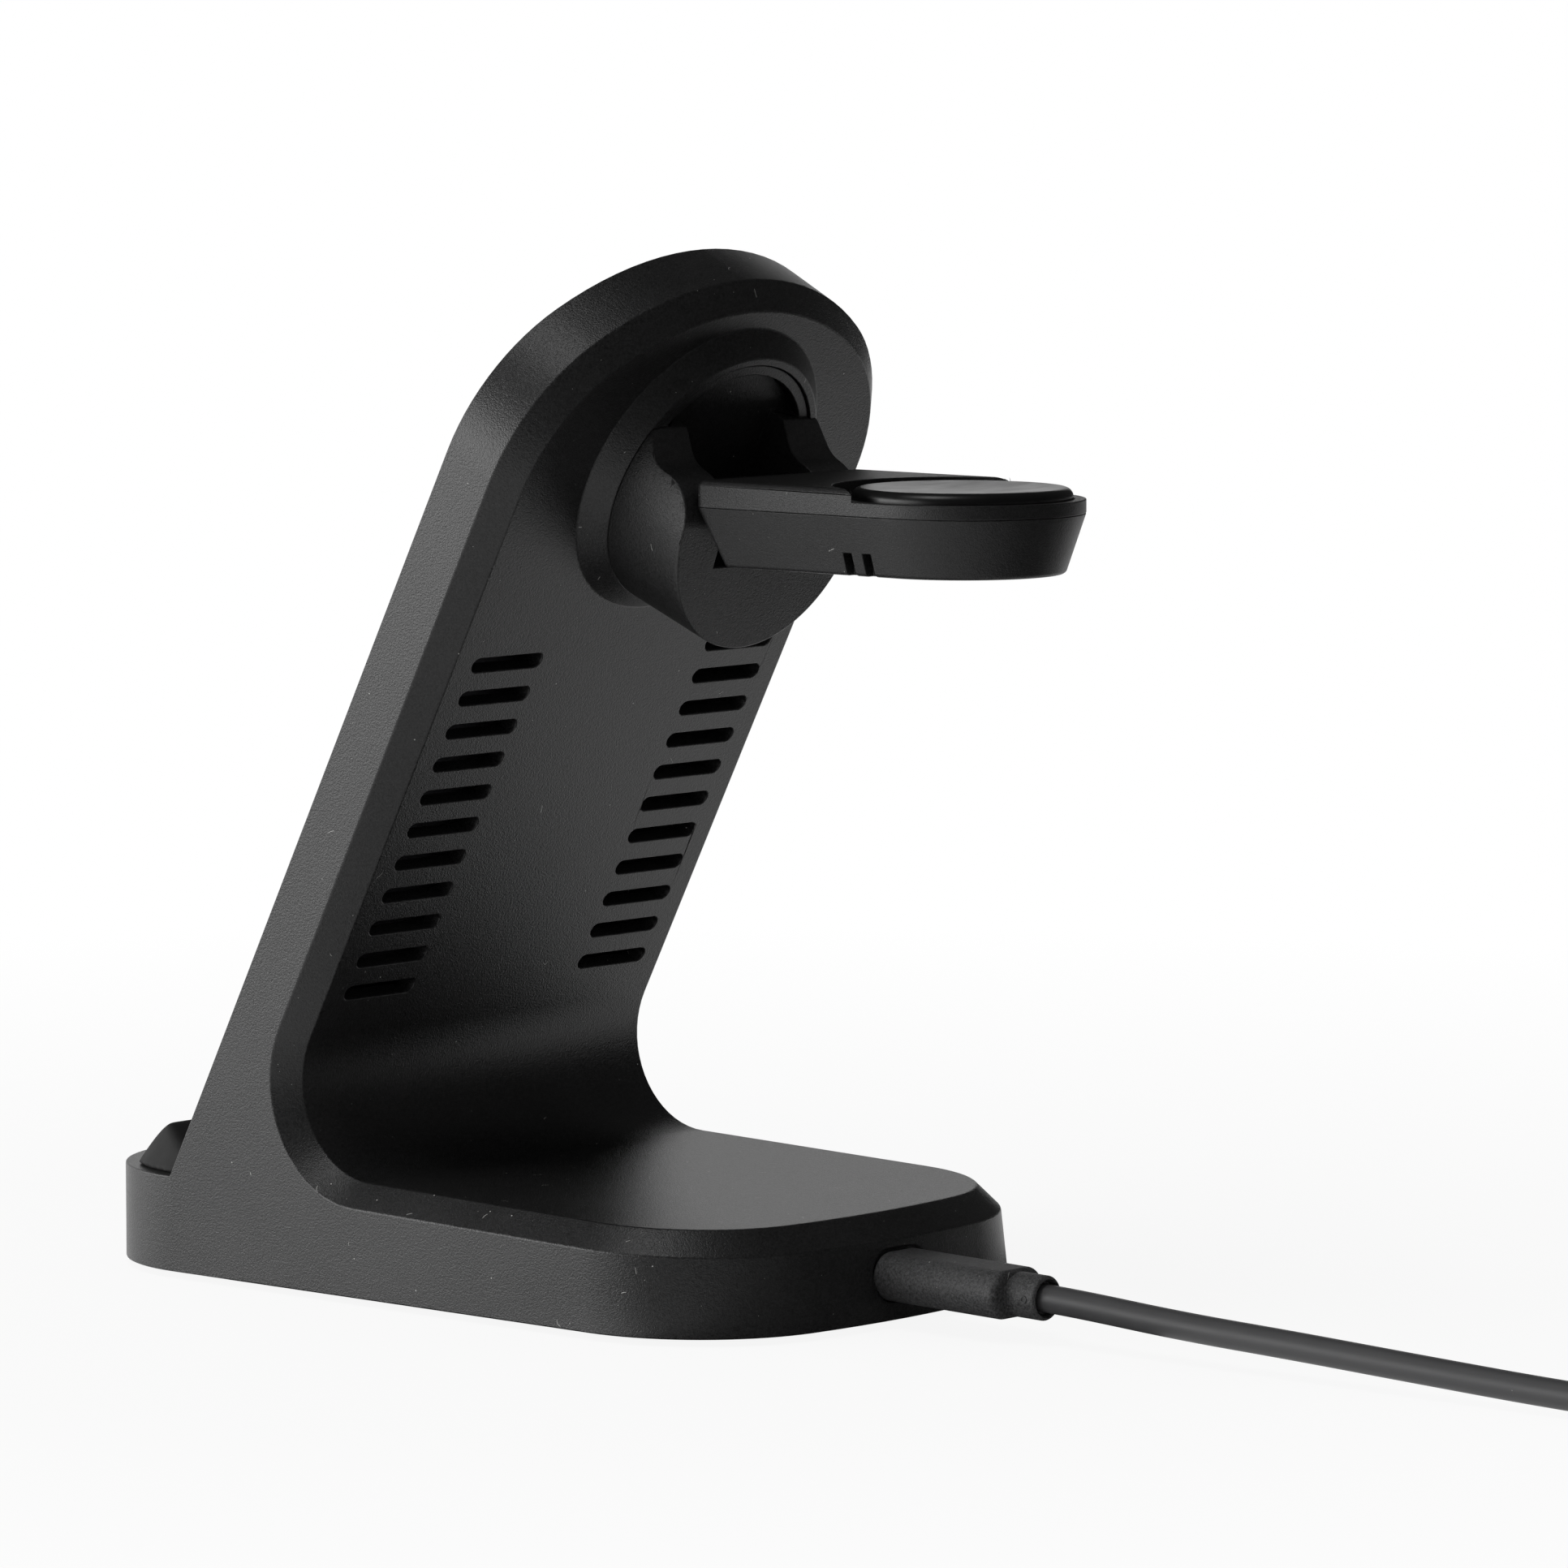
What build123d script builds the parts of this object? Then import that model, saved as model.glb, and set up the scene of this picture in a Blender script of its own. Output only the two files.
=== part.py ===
"""Three in one wireless charger: a leaning phone stand, an earbud deck and a folding watch arm.

Millimetres, +Z up. The origin is on the table under the middle of the base. The phone leans on the
front, towards -Y. The deck, the watch arm and the cable are at the back, towards +Y.
"""
from build123d import *
import os
from math import cos, pi, radians, sin, sqrt, tan

# Overall form
WIDTH = 75.0
BASE_LENGTH = 124.9
LEAN = 27.5                # degrees from upright, the top towards the back
BACK_LENGTH = 156.6        # up the rear panel, from the table's level to the top of the arch
BACK_THICK = 12.0
PANEL_FOOT = 27.55         # from the front edge to where the rear panel would meet the table
LEDGE_HEIGHT = 14.5
DECK_HEIGHT = 16.45        # at the origin
DECK_FALL = 1.46           # degrees, down towards the back
BEND_RADIUS = 13.0         # rear panel into deck
FRONT_CORNER = 21.7
REAR_CORNER = 23.0
REAR_CROWN = 130.0
REAR_DRAFT = 8.0           # degrees
ARCH_CORNER = 26.0
ARCH_CROWN = 46.0
EDGE_CHAMFER = 3.2
WALL = 2.5
FIT = 0.15                 # gap round a cover in its opening

# Vents in the rear panel
VENT_ROWS = 11
VENT_PITCH = 5.265
VENT_LENGTH = 13.7
VENT_WIDTH = 2.2
VENT_SIDE = 13.77          # middle of a column from the side of the back
VENT_DROP = 29.2           # first row below the middle of the boss

# Front panel, base cover, feet and screws
PANEL_THICK = 2.2
PANEL_SILL = 19.7          # lower edge of its opening, up the lean
PANEL_BREAK = 0.4
COVER_THICK = 2.4
FOOT_HEIGHT = 1.0          # standing out below the cover
FOOT_RADIUS = 6.0
FOOT_SINK = 0.6
FOOT_FRONT = 12.7          # middle of a front foot from the front end of the base
FOOT_REAR = 17.8           # middle of a rear foot from the rear end
FOOT_SIDE = 13.5           # middle of a foot from the side of the base
SCREW_RADIUS = 1.25
SCREW_HEAD = 2.4
HEAD_HEIGHT = 1.4
SCREW_WEB = 0.8            # cover left above a screw's head
SCREW_REACH = 6.0
POST_RADIUS = 3.4

# Rubber phone stop
STOP_INSET = 1.45          # its ends follow the base's corners, this far in
STOP_TAPER = 27.0          # degrees, the ends' lean over the bar
STOP_SEAT = 13.0           # height of the seat up the lean
STOP_DEPTH = 8.5
STOP_TOE = 6.1             # toe in front of the crest
STOP_BULGE = 0.55
CREST_ROUND = 0.8

# Boss and hinge
BOSS_DROP = 27.75          # middle of the boss below the top of the arch
BOSS_RADIUS = 21.9
RIM_RADIUS = 19.05
RIM_HEIGHT = 3.2
BRACKET_RADIUS = 17.8
BRACKET_BORE = 16.2
BRACKET_FLOOR = 3.0
CUP_SINK = 0.35            # edge of the cup below the rim
EAR_UP = 5.4               # upper edge of the ears above the boss axis
EAR_OUT = 14.65
EAR_ROUND = 6.0            # nose of an ear, round the hinge axis
EAR_ROOT = 4.0
EAR_SLOPE = 0.14           # the ears' ends come out by this for each millimetre down
EAR_DRAFT = 0.075          # and their outer sides go in by this for each millimetre out
EAR_START = 9.0            # where the ears rise from the rim
EAR_SLOT = 5.6             # lower end of the slot between the ears, below the boss axis
KEEPER_RADIUS = 20.5
KEEPER_THICK = 1.5
KEEPER_SCREWS = 3
KEEPER_CIRCLE = 11.0
KEEPER_SKIN = 0.6          # of the cup's floor, left over the screws
PIN_RADIUS = 2.0
PIN_GAP = 0.05
PIN_REACH = 16.4
BARREL_RADIUS = 4.2
BARREL_HALF = 9.35
EAR_GAP = 0.5              # between the barrel and each ear
WASHER_THICK = 0.4

# Watch arm, heights from the pin
ARM_REACH = 39.23          # pin to the middle of the disc
HEEL_GAP = 0.17            # between the arm's flat heel and the round noses
HEEL_CORNER = 1.2
DISC_RADIUS = 16.5
ARM_TOP = 4.7
ARM_RIM = 2.97
ARM_PARTING = 1.07
ARM_BOTTOM = -7.03
ARM_TAPER = 18.5
ARM_EDGE = 0.8
TOP_EDGE = 0.9
ARM_WALL = 1.8
SLOT_WIDTH = 1.5
SLOT_HEIGHT = 3.1
SLOT_FIRST = 31.7          # first vent slot behind the pin
SLOT_PITCH = 3.35
SLOT_COUNT = 2
STEP_GAP = 0.8
PUCK_RADIUS = 14.8
PUCK_EDGE = 0.2            # straight side above the arm's rim
PUCK_ROUND = 1.3
PUCK_DISH = 0.5
PUCK_SINK = 1.2

# Coils, ferrites and board
COIL_THICK = 1.5
FERRITE_THICK = 1.0
PHONE_COIL = (44.0, 38.0)
PHONE_COIL_EYE = (22.0, 16.0)
PHONE_COIL_ROUND = 14.0
PHONE_EYE_ROUND = 7.0
PHONE_COIL_MIDDLE = 81.0   # up the lean, between the two coils
PHONE_FERRITE = (50.0, 82.0)
EARBUD_COIL = 20.0
EARBUD_EYE = 9.0
EARBUD_FERRITE = 21.5
EARBUD_BACK = 32.0
WATCH_COIL = 11.5
WATCH_EYE = 5.2
WATCH_FERRITE = 12.4
WATCH_MAGNET = 4.4
BOARD_LENGTH = 44.0
BOARD_GAP = 1.5            # from the screw posts
BOARD_THICK = 1.2
STANDOFF_RADIUS = 2.6
CHIP = (6.0, 6.0, 1.0)
CHIP_COUNT = 3
CHIP_ROW = 11.0            # behind the board's front edge
INDUCTOR = (7.0, 7.0, 2.6)
INDUCTOR_COUNT = 4
INDUCTOR_ROW = 22.0

# Port, plug and cable
PORT_HEIGHT = 7.0
PLUG_METAL = (8.25, 2.4)
METAL_WALL = 0.3
METAL_REACH = 6.6
SOCKET_GAP = 0.12
SOCKET_WALL = 0.35
SOCKET_DEPTH = 8.2
PORT_GAP = 0.2
TONGUE = (6.4, 0.7)
GRIP = (11.0, 6.6)
GRIP_LENGTH = 21.05
GRIP_EDGE = 0.9
POCKET_DEPTH = 1.6         # of the grip's seat in the rear face, at the table's level
POCKET_GAP = 0.25
COLLAR_RADIUS = 3.05
COLLAR_LENGTH = 5.0
COLLAR_EDGE = 0.5
CORD_SINK = 1.2            # the cord starts this deep in the collar's end
CORD_SINK_RADIUS = 2.4
PLUG_TILT = 1.3            # degrees, the plug's droop in the port
CORD_RADIUS = 1.9
ARC_SHARE = 0.45           # of the shorter run beside a bend, taken up by the arc
COIL_MIDDLE = (-26.0, 213.0)
COIL_MEAN = 19.25
LOWER_TURNS = 4
TIE_THICK = 0.6
TIE_WIDTH = 9.0
CORD_ROUTE = [
    (0, 91.25, 6.22), (0, 110, 5.08), (0, 128, 4.58), (-0.3, 146, 3.8), (-1.0, 172, 2.7), (-1.5, 198.3, 2.5),
]
TAIL_ROUTE = [(-48.8, 195.8, 5.2), (-49.2, 187.5, 3.4), (-49.2, 180, 3.4)]

LOW = (Align.CENTER, Align.CENTER, Align.MIN)
HALF = WIDTH / 2
FRONT = -BASE_LENGTH / 2
REAR = BASE_LENGTH / 2
LEAN_SIN = sin(radians(LEAN))
LEAN_COS = cos(radians(LEAN))
FALL = tan(radians(DECK_FALL))
# Rear panel: local Y runs up the lean and local Z stands out of the back.
PANEL = Plane((0, FRONT + PANEL_FOOT, 0), x_dir=(-1, 0, 0), z_dir=(0, LEAN_COS, -LEAN_SIN))
SIDE = Plane.YZ
BOSS_UP = BACK_LENGTH - BOSS_DROP
INSIDE_FRONT = PANEL_THICK - BACK_THICK
COVER_TOP = FOOT_HEIGHT + COVER_THICK
PAD_TOP = FOOT_HEIGHT + FOOT_SINK + HEAD_HEIGHT + SCREW_WEB
FOOT_OUT = HALF - FOOT_SIDE
BOARD = (2 * (FOOT_OUT - POST_RADIUS - BOARD_GAP), BOARD_LENGTH)
GRIP_START = REAR - POCKET_DEPTH + FIT
COLLAR_END = GRIP_START + GRIP_LENGTH + COLLAR_LENGTH
CORD_START = COLLAR_END - CORD_SINK
EAR_INSIDE = BARREL_HALF + EAR_GAP


def lean_point(out, up):
    """Y and Z of a point `out` behind the rear panel's plane and `up` the lean."""
    return FRONT + PANEL_FOOT + out * LEAN_COS + up * LEAN_SIN, up * LEAN_COS - out * LEAN_SIN


def deck_height(y):
    return DECK_HEIGHT - FALL * y


def lean_at_height(out, z):
    """Where the plane `out` behind the rear panel reaches the height z."""
    return lean_point(out, (z + out * LEAN_SIN) / LEAN_COS)


def lean_at_deck(out, drop):
    """Where the plane `out` behind the rear panel meets the deck lowered by `drop`."""
    start_y, start_z = lean_point(out, 0)
    up = (deck_height(start_y) - drop - start_z) / (LEAN_COS + FALL * LEAN_SIN)
    return lean_point(out, up)


def plan_face(inset):
    """Plan of the base: round corners and a slightly crowned rear edge."""
    half = HALF - inset
    front = FRONT + inset
    rear = REAR - inset
    crown = REAR_CROWN - inset
    shoulder = rear - crown + sqrt(crown ** 2 - half ** 2)
    face = make_face([
        Line((-half, front), (half, front)),
        Line((half, front), (half, shoulder)),
        ThreePointArc((half, shoulder), (0, rear), (-half, shoulder)),
        Line((-half, shoulder), (-half, front)),
    ])
    face = fillet(face.vertices().group_by(Axis.Y)[0], FRONT_CORNER - inset)
    return fillet(face.vertices().group_by(Axis.Y)[-1], REAR_CORNER - inset)


def base_column(inset, low, high):
    """The base's plan from one height to another, upright in front and drafted behind."""
    face = (Pos(0, 0, low) * plan_face(inset)).face()
    height = high - low
    lean_in = tan(radians(REAR_DRAFT))
    shifted = Pos(0, -lean_in * (low - FOOT_HEIGHT), 0) * face
    upright = Solid.extrude(face, (0, 0, height))
    drafted = Solid.extrude(shifted, (0, -lean_in * height, height))
    return upright & drafted


def arch_face(inset, low):
    """The leaning back seen square on: straight flanks under a three-centred arch."""
    half = HALF - inset
    top = BACK_LENGTH - inset
    crown = ARCH_CROWN - inset
    shoulder = top - crown + sqrt(crown ** 2 - half ** 2)
    face = make_face([
        Line((-half, low), (half, low)),
        Line((half, low), (half, shoulder)),
        ThreePointArc((half, shoulder), (0, top), (-half, shoulder)),
        Line((-half, shoulder), (-half, low)),
    ])
    return fillet(face.vertices().group_by(Axis.Y)[-1], ARCH_CORNER - inset)


def lean_slab(face, start, end):
    """A face drawn on the rear panel, extruded between two distances out of it."""
    return extrude(PANEL * Pos(0, 0, start) * face, end - start)


def body(inset, floor):
    """The one-piece form of base and back, with every outer wall moved in by `inset`."""
    above = BACK_LENGTH + WIDTH
    bend = lean_at_deck(-inset, inset)
    past = 2 * BASE_LENGTH
    profile = make_face(Polyline([
        (FRONT + inset, floor),
        (FRONT + inset, LEDGE_HEIGHT - inset),
        lean_at_height(inset - BACK_THICK, LEDGE_HEIGHT - inset),
        lean_point(inset - BACK_THICK, above),
        lean_point(-inset, above),
        bend,
        (past, deck_height(past) - inset),
        (past, floor),
    ], close=True))
    corner = profile.vertices().sort_by_distance((*bend, 0))[0]
    profile = fillet(corner, BEND_RADIUS + inset)
    form = extrude(SIDE * profile, HALF - inset, both=True)
    form &= lean_slab(arch_face(inset, -BASE_LENGTH), -BASE_LENGTH, 2 * BASE_LENGTH)
    block = Pos(0, 0, floor) * Box(2 * WIDTH, 5 * BASE_LENGTH, DECK_HEIGHT - floor, align=LOW)
    return form - (block - base_column(inset, floor, DECK_HEIGHT))


def rear_loop(form):
    """Edges round the panel, the bend and the deck, which the chamfer follows."""
    middle = lean_point(0, BACK_LENGTH / 2)
    panel = form.faces().sort_by_distance((0, *middle))[0]
    deck = form.faces().sort_by_distance((0, REAR / 2, deck_height(REAR / 2)))[0]
    corner = (0, *lean_at_deck(0, 0))
    bend = form.faces().filter_by(GeomType.CYLINDER).sort_by_distance(corner)[0]
    edges = panel.edges() + deck.edges() + bend.edges()
    return [edge for edge in edges if sum(edge == other for other in edges) == 1]


def foot_places():
    """Middles of the feet, which hide the cover's screws."""
    ends = (FRONT + FOOT_FRONT, REAR - FOOT_REAR)
    return [(x, y) for x in (-FOOT_OUT, FOOT_OUT) for y in ends]


def stadium_bar(size, start, end, height):
    """A bar of stadium section along Y."""
    plane = Plane((0, start, height), x_dir=(1, 0, 0), z_dir=(0, 1, 0))
    return extrude(plane * SlotOverall(*size), end - start)


def main_housing():
    """Base and back in one moulding, open in front for the panel and below for the cover."""
    form = body(0, FOOT_HEIGHT)
    form = chamfer(rear_loop(form), EDGE_CHAMFER)
    boss = PANEL * Pos(0, BOSS_UP, 0) * Cone(BOSS_RADIUS, RIM_RADIUS, RIM_HEIGHT, align=LOW)
    form = form + boss
    form -= body(WALL, 0)
    form -= lean_slab(arch_face(WALL, PANEL_SILL), -2 * BACK_THICK, WALL - BACK_THICK + FIT)
    vents = [
        lean_slab(Pos(side * (HALF - VENT_SIDE), BOSS_UP - VENT_DROP - row * VENT_PITCH)
                  * SlotOverall(VENT_LENGTH, VENT_WIDTH), -2 * WALL, WALL)
        for side in (-1, 1) for row in range(VENT_ROWS)
    ]
    bore = lean_slab(Pos(0, BOSS_UP) * Circle(BRACKET_RADIUS + FIT / 2), -2 * WALL, 2 * RIM_HEIGHT)
    socket = socket_size()
    mouth = (socket[0] + 2 * PORT_GAP, socket[1] + 2 * PORT_GAP)
    port = stadium_bar(mouth, REAR - 3 * WALL, REAR + WALL, PORT_HEIGHT)
    seat = tuple(size + 2 * POCKET_GAP for size in GRIP)
    pocket = stadium_bar(seat, REAR - POCKET_DEPTH, REAR + WALL, PORT_HEIGHT)
    form = form - vents - bore - port - pocket
    for x, y in foot_places():
        ceiling = min(LEDGE_HEIGHT, deck_height(y)) - WALL / 2
        form += Pos(x, y, PAD_TOP) * Cylinder(POST_RADIUS, ceiling - PAD_TOP, align=LOW)
        form -= Pos(x, y, PAD_TOP) * Cylinder(SCREW_RADIUS + FIT / 2, SCREW_REACH + FIT, align=LOW)
    return form


def front_panel():
    panel = lean_slab(arch_face(WALL + FIT, PANEL_SILL + FIT), -BACK_THICK, INSIDE_FRONT)
    face = panel.faces().sort_by_distance((0, *lean_point(-BACK_THICK, BACK_LENGTH / 2)))[0]
    return chamfer(face.edges(), PANEL_BREAK)


def bottom_cover():
    """Plate in the bottom of the base, with seats for the feet, the screws and the board."""
    cover = base_column(WALL + FIT, FOOT_HEIGHT, COVER_TOP)
    for x, y in foot_places():
        cover += Pos(x, y, FOOT_HEIGHT) * Cylinder(POST_RADIUS, PAD_TOP - FOOT_HEIGHT, align=LOW)
    for x, y in board_corners():
        standoff = board_top() - BOARD_THICK - FOOT_HEIGHT
        cover += Pos(x, y, FOOT_HEIGHT) * Cylinder(STANDOFF_RADIUS, standoff, align=LOW)
    for x, y in foot_places():
        cover -= Pos(x, y, 0) * Cylinder(FOOT_RADIUS + FIT, FOOT_HEIGHT + FOOT_SINK, align=LOW)
        cover -= Pos(x, y, 0) * Cylinder(SCREW_HEAD + FIT, PAD_TOP - SCREW_WEB, align=LOW)
        cover -= Pos(x, y, 0) * Cylinder(SCREW_RADIUS + FIT, 2 * PAD_TOP, align=LOW)
    return cover


def feet():
    pad = Cylinder(FOOT_RADIUS, FOOT_HEIGHT + FOOT_SINK, align=LOW)
    pad = fillet(pad.edges().group_by(Axis.Z)[0], FOOT_HEIGHT / 2)
    return [Pos(x, y, 0) * pad for x, y in foot_places()]


def cover_screws():
    head_top = PAD_TOP - SCREW_WEB
    head = Pos(0, 0, head_top - HEAD_HEIGHT) * Cylinder(SCREW_HEAD, HEAD_HEIGHT, align=LOW)
    shank = Pos(0, 0, head_top) * Cylinder(SCREW_RADIUS, SCREW_WEB + SCREW_REACH, align=LOW)
    return [Pos(x, y, 0) * (head + shank) for x, y in foot_places()]


def phone_stop():
    """Rubber bar on the ledge, with a seat square to the lean, a bulging front and leaning ends."""
    heel = lean_at_height(-BACK_THICK, LEDGE_HEIGHT)
    seat = lean_point(-BACK_THICK, STOP_SEAT)
    crest = lean_point(-BACK_THICK - STOP_DEPTH, STOP_SEAT)
    toe = (crest[0] - STOP_TOE, LEDGE_HEIGHT)
    section = make_face([
        Line(toe, heel),
        Line(heel, seat),
        Line(seat, crest),
        SagittaArc(crest, toe, -STOP_BULGE),
    ])
    bar = extrude(SIDE * section, HALF, both=True)
    crest_edge = bar.edges().sort_by_distance((0, *crest))[0]
    bar = fillet(crest_edge, CREST_ROUND)
    ends = extrude(Pos(0, 0, LEDGE_HEIGHT) * plan_face(STOP_INSET), LEDGE_HEIGHT, taper=STOP_TAPER)
    return bar & ends


def pin_middle():
    """The hinge axis in the side view, in the middle of the ears' round noses."""
    out = EAR_OUT + EAR_SLOPE * EAR_ROUND - EAR_ROUND * sqrt(1 + EAR_SLOPE ** 2)
    return lean_point(out, BOSS_UP + EAR_UP - EAR_ROUND)


def pin_bar(radius, start, end):
    """A round bar on the hinge axis, between two places along X."""
    plane = Plane((start, *pin_middle()), x_dir=(0, 1, 0), z_dir=(1, 0, 0))
    return extrude(plane * Circle(radius), end - start)


def hinge_bracket():
    """Cup in the boss whose lower side comes out as two thick ears with a slot between them."""
    inner = Pos(0, BOSS_UP) * Circle(BRACKET_BORE)
    plug = Pos(0, BOSS_UP) * Circle(BRACKET_RADIUS)
    reach = 2 * RIM_RADIUS
    floor = BRACKET_FLOOR - WALL
    cup = lean_slab(plug, -WALL, RIM_HEIGHT - CUP_SINK) - lean_slab(inner, floor, reach)
    tip = RIM_RADIUS - EAR_DRAFT * reach
    ears = lean_slab(plug, -WALL, RIM_HEIGHT)
    ears += PANEL * Pos(0, BOSS_UP, RIM_HEIGHT) * Cone(RIM_RADIUS, tip, reach, align=LOW)
    nose = (EAR_OUT, EAR_UP)
    root = (RIM_HEIGHT + EAR_START - EAR_UP, EAR_UP)
    keep = make_face(Polyline([
        (-WALL, -reach),
        (-WALL, EAR_START),
        (RIM_HEIGHT, EAR_START),
        root,
        nose,
        (EAR_OUT + EAR_SLOPE * (EAR_UP + reach), -reach),
    ], close=True))
    keep = fillet(keep.vertices().sort_by_distance((*nose, 0))[0], EAR_ROUND)
    keep = fillet(keep.vertices().sort_by_distance((*root, 0))[0], EAR_ROOT)
    side_view = Plane((0, *lean_point(0, BOSS_UP)), x_dir=PANEL.z_dir, z_dir=(1, 0, 0))
    ears &= extrude(side_view * keep, reach, both=True)
    slot = Pos(0, BOSS_UP + (reach - EAR_SLOT) / 2) * Rectangle(2 * EAR_INSIDE, reach + EAR_SLOT)
    bracket = cup + (ears - lean_slab(slot, floor, reach))
    bracket -= pin_bar(PIN_RADIUS + PIN_GAP, -reach, PIN_REACH + PIN_GAP)
    for place in keeper_places():
        bracket -= lean_slab(place * Circle(SCREW_RADIUS + FIT / 2), -2 * WALL, floor - KEEPER_SKIN)
    return bracket


def keeper_places():
    turn = 360 / KEEPER_SCREWS
    return [Pos(0, BOSS_UP) * Rot(0, 0, turn * k) * Pos(0, KEEPER_CIRCLE) for k in range(KEEPER_SCREWS)]


def bracket_keeper():
    """Plate inside the back that the bracket is screwed to through the panel."""
    plate = lean_slab(Pos(0, BOSS_UP) * Circle(KEEPER_RADIUS), -WALL - KEEPER_THICK, -WALL)
    for place in keeper_places():
        plate -= lean_slab(place * Circle(SCREW_RADIUS + FIT), -4 * WALL, WALL)
    return plate


def keeper_screws():
    back = -WALL - KEEPER_THICK
    return [
        lean_slab(place * Circle(SCREW_HEAD), back - HEAD_HEIGHT, back)
        + lean_slab(place * Circle(SCREW_RADIUS), back, BRACKET_FLOOR - WALL - KEEPER_SKIN - FIT)
        for place in keeper_places()
    ]


def hinge_pin():
    return pin_bar(PIN_RADIUS, -RIM_RADIUS + 2 * EAR_GAP, PIN_REACH)


def hinge_washers():
    gap = (EAR_GAP - WASHER_THICK) / 2
    rings = []
    for side in (-1, 1):
        start = side * (BARREL_HALF + gap)
        end = start + side * WASHER_THICK
        ring = pin_bar(BARREL_RADIUS, start, end) - pin_bar(PIN_RADIUS + PIN_GAP, start, end)
        rings.append(ring)
    return rings


def arm_heel():
    """The flat front end of the arm, just clear of the ears' noses."""
    return pin_middle()[0] + EAR_ROUND + HEEL_GAP


def arm_plan(inset):
    """Plan of the watch arm: a straight neck as wide as the disc it ends in."""
    half = DISC_RADIUS - inset
    heel = arm_heel() + inset
    middle = disc_middle()
    return make_face([
        Line((-half, heel), (half, heel)),
        Line((half, heel), (half, middle)),
        ThreePointArc((half, middle), (0, middle + half), (-half, middle)),
        Line((-half, middle), (-half, heel)),
    ])


def round_heel(shape, height):
    """The shape with the two upright corners of its heel rounded."""
    corners = [
        shape.edges().sort_by_distance((side * DISC_RADIUS, arm_heel(), height))[0] for side in (-1, 1)
    ]
    return fillet(corners, HEEL_CORNER)


def arm_level(height):
    """A height given from the pin."""
    return pin_middle()[1] + height


def disc_middle():
    return pin_middle()[0] + ARM_REACH


def arm_shell():
    """Lower tub of the arm, with tapered sides, the hinge tongue and small vent slots."""
    top = arm_level(ARM_PARTING)
    depth = ARM_PARTING - ARM_BOTTOM
    tub = extrude(Pos(0, 0, top) * arm_plan(0), -depth, taper=ARM_TAPER)
    tub = round_heel(tub, top - depth / 2)
    tub = fillet(tub.faces().sort_by(Axis.Z)[0].edges(), ARM_EDGE)
    hollow = extrude(Pos(0, 0, top) * arm_plan(ARM_WALL), ARM_WALL - depth, taper=ARM_TAPER)
    tub -= hollow
    pin_y = pin_middle()[0]
    web = (2 * BARREL_HALF, arm_heel() + 2 * ARM_WALL - pin_y, ARM_PARTING + BARREL_RADIUS)
    web_low = arm_level(-BARREL_RADIUS)
    tub = tub + pin_bar(BARREL_RADIUS, -BARREL_HALF, BARREL_HALF)
    tub += Pos(0, pin_y + web[1] / 2, web_low) * Box(*web, align=LOW)
    for side in (-1, 1):
        for k in range(SLOT_COUNT):
            y = pin_y + SLOT_FIRST + k * SLOT_PITCH
            cut = Box(DISC_RADIUS / 2, SLOT_WIDTH, SLOT_HEIGHT, align=LOW)
            tub -= Pos(side * DISC_RADIUS, y, arm_level(ARM_BOTTOM)) * cut
    return tub - pin_bar(PIN_RADIUS + PIN_GAP, -WIDTH, WIDTH)


def arm_cover():
    """Upper band and top of the arm, stepped down round the charging disc."""
    low = arm_level(ARM_PARTING)
    height = ARM_TOP - ARM_PARTING
    cover = extrude(Pos(0, 0, low) * arm_plan(0), height)
    cover = round_heel(cover, low + height / 2)
    cover = fillet(cover.faces().sort_by(Axis.Z)[-1].edges(), TOP_EDGE)
    place = Pos(0, disc_middle(), 0)
    hollow = extrude(Pos(0, 0, low) * arm_plan(ARM_WALL), height - ARM_WALL)
    cover -= hollow - place * Pos(0, 0, low) * Cylinder(DISC_RADIUS, ARM_TOP, align=LOW)
    step = Pos(0, 0, arm_level(ARM_RIM)) * Cylinder(DISC_RADIUS + STEP_GAP, ARM_TOP, align=LOW)
    seat = Pos(0, 0, arm_level(ARM_RIM - PUCK_SINK)) * Cylinder(PUCK_RADIUS + FIT, ARM_TOP, align=LOW)
    window = Pos(0, 0, low) * Cylinder(WATCH_FERRITE + FIT, ARM_TOP, align=LOW)
    return cover - [place * cut for cut in (step, seat, window)]


def charging_disc():
    """Polished puck that the watch sits on, round at its edge and slightly dished."""
    low = ARM_RIM - PUCK_SINK
    edge = ARM_RIM + PUCK_EDGE
    top = edge + PUCK_ROUND
    crest = PUCK_RADIUS - PUCK_ROUND
    dish = (crest ** 2 + PUCK_DISH ** 2) / (2 * PUCK_DISH)
    section = make_face([
        Line((0, low), (PUCK_RADIUS, low)),
        Line((PUCK_RADIUS, low), (PUCK_RADIUS, edge)),
        CenterArc((crest, edge), PUCK_ROUND, 0, 90),
        RadiusArc((crest, top), (0, top - PUCK_DISH), dish),
        Line((0, top - PUCK_DISH), (0, low)),
    ])
    plane = Plane((0, disc_middle(), arm_level(0)), x_dir=(1, 0, 0), z_dir=(0, -1, 0))
    return revolve(plane * section, Axis((0, disc_middle(), 0), (0, 0, 1)))


def watch_stack():
    """Coil, magnet and ferrite hung under the charging disc."""
    coil_low = arm_level(ARM_RIM - PUCK_SINK - COIL_THICK)
    place = Pos(0, disc_middle(), coil_low)
    ring = Cylinder(WATCH_COIL, COIL_THICK, align=LOW) - Cylinder(WATCH_EYE, COIL_THICK, align=LOW)
    coil = place * ring
    magnet = place * Cylinder(WATCH_MAGNET, COIL_THICK, align=LOW)
    ferrite = place * Pos(0, 0, -FERRITE_THICK) * Cylinder(WATCH_FERRITE, FERRITE_THICK, align=LOW)
    return {"watch_coil": coil, "watch_magnet": magnet, "watch_ferrite": ferrite}


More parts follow.
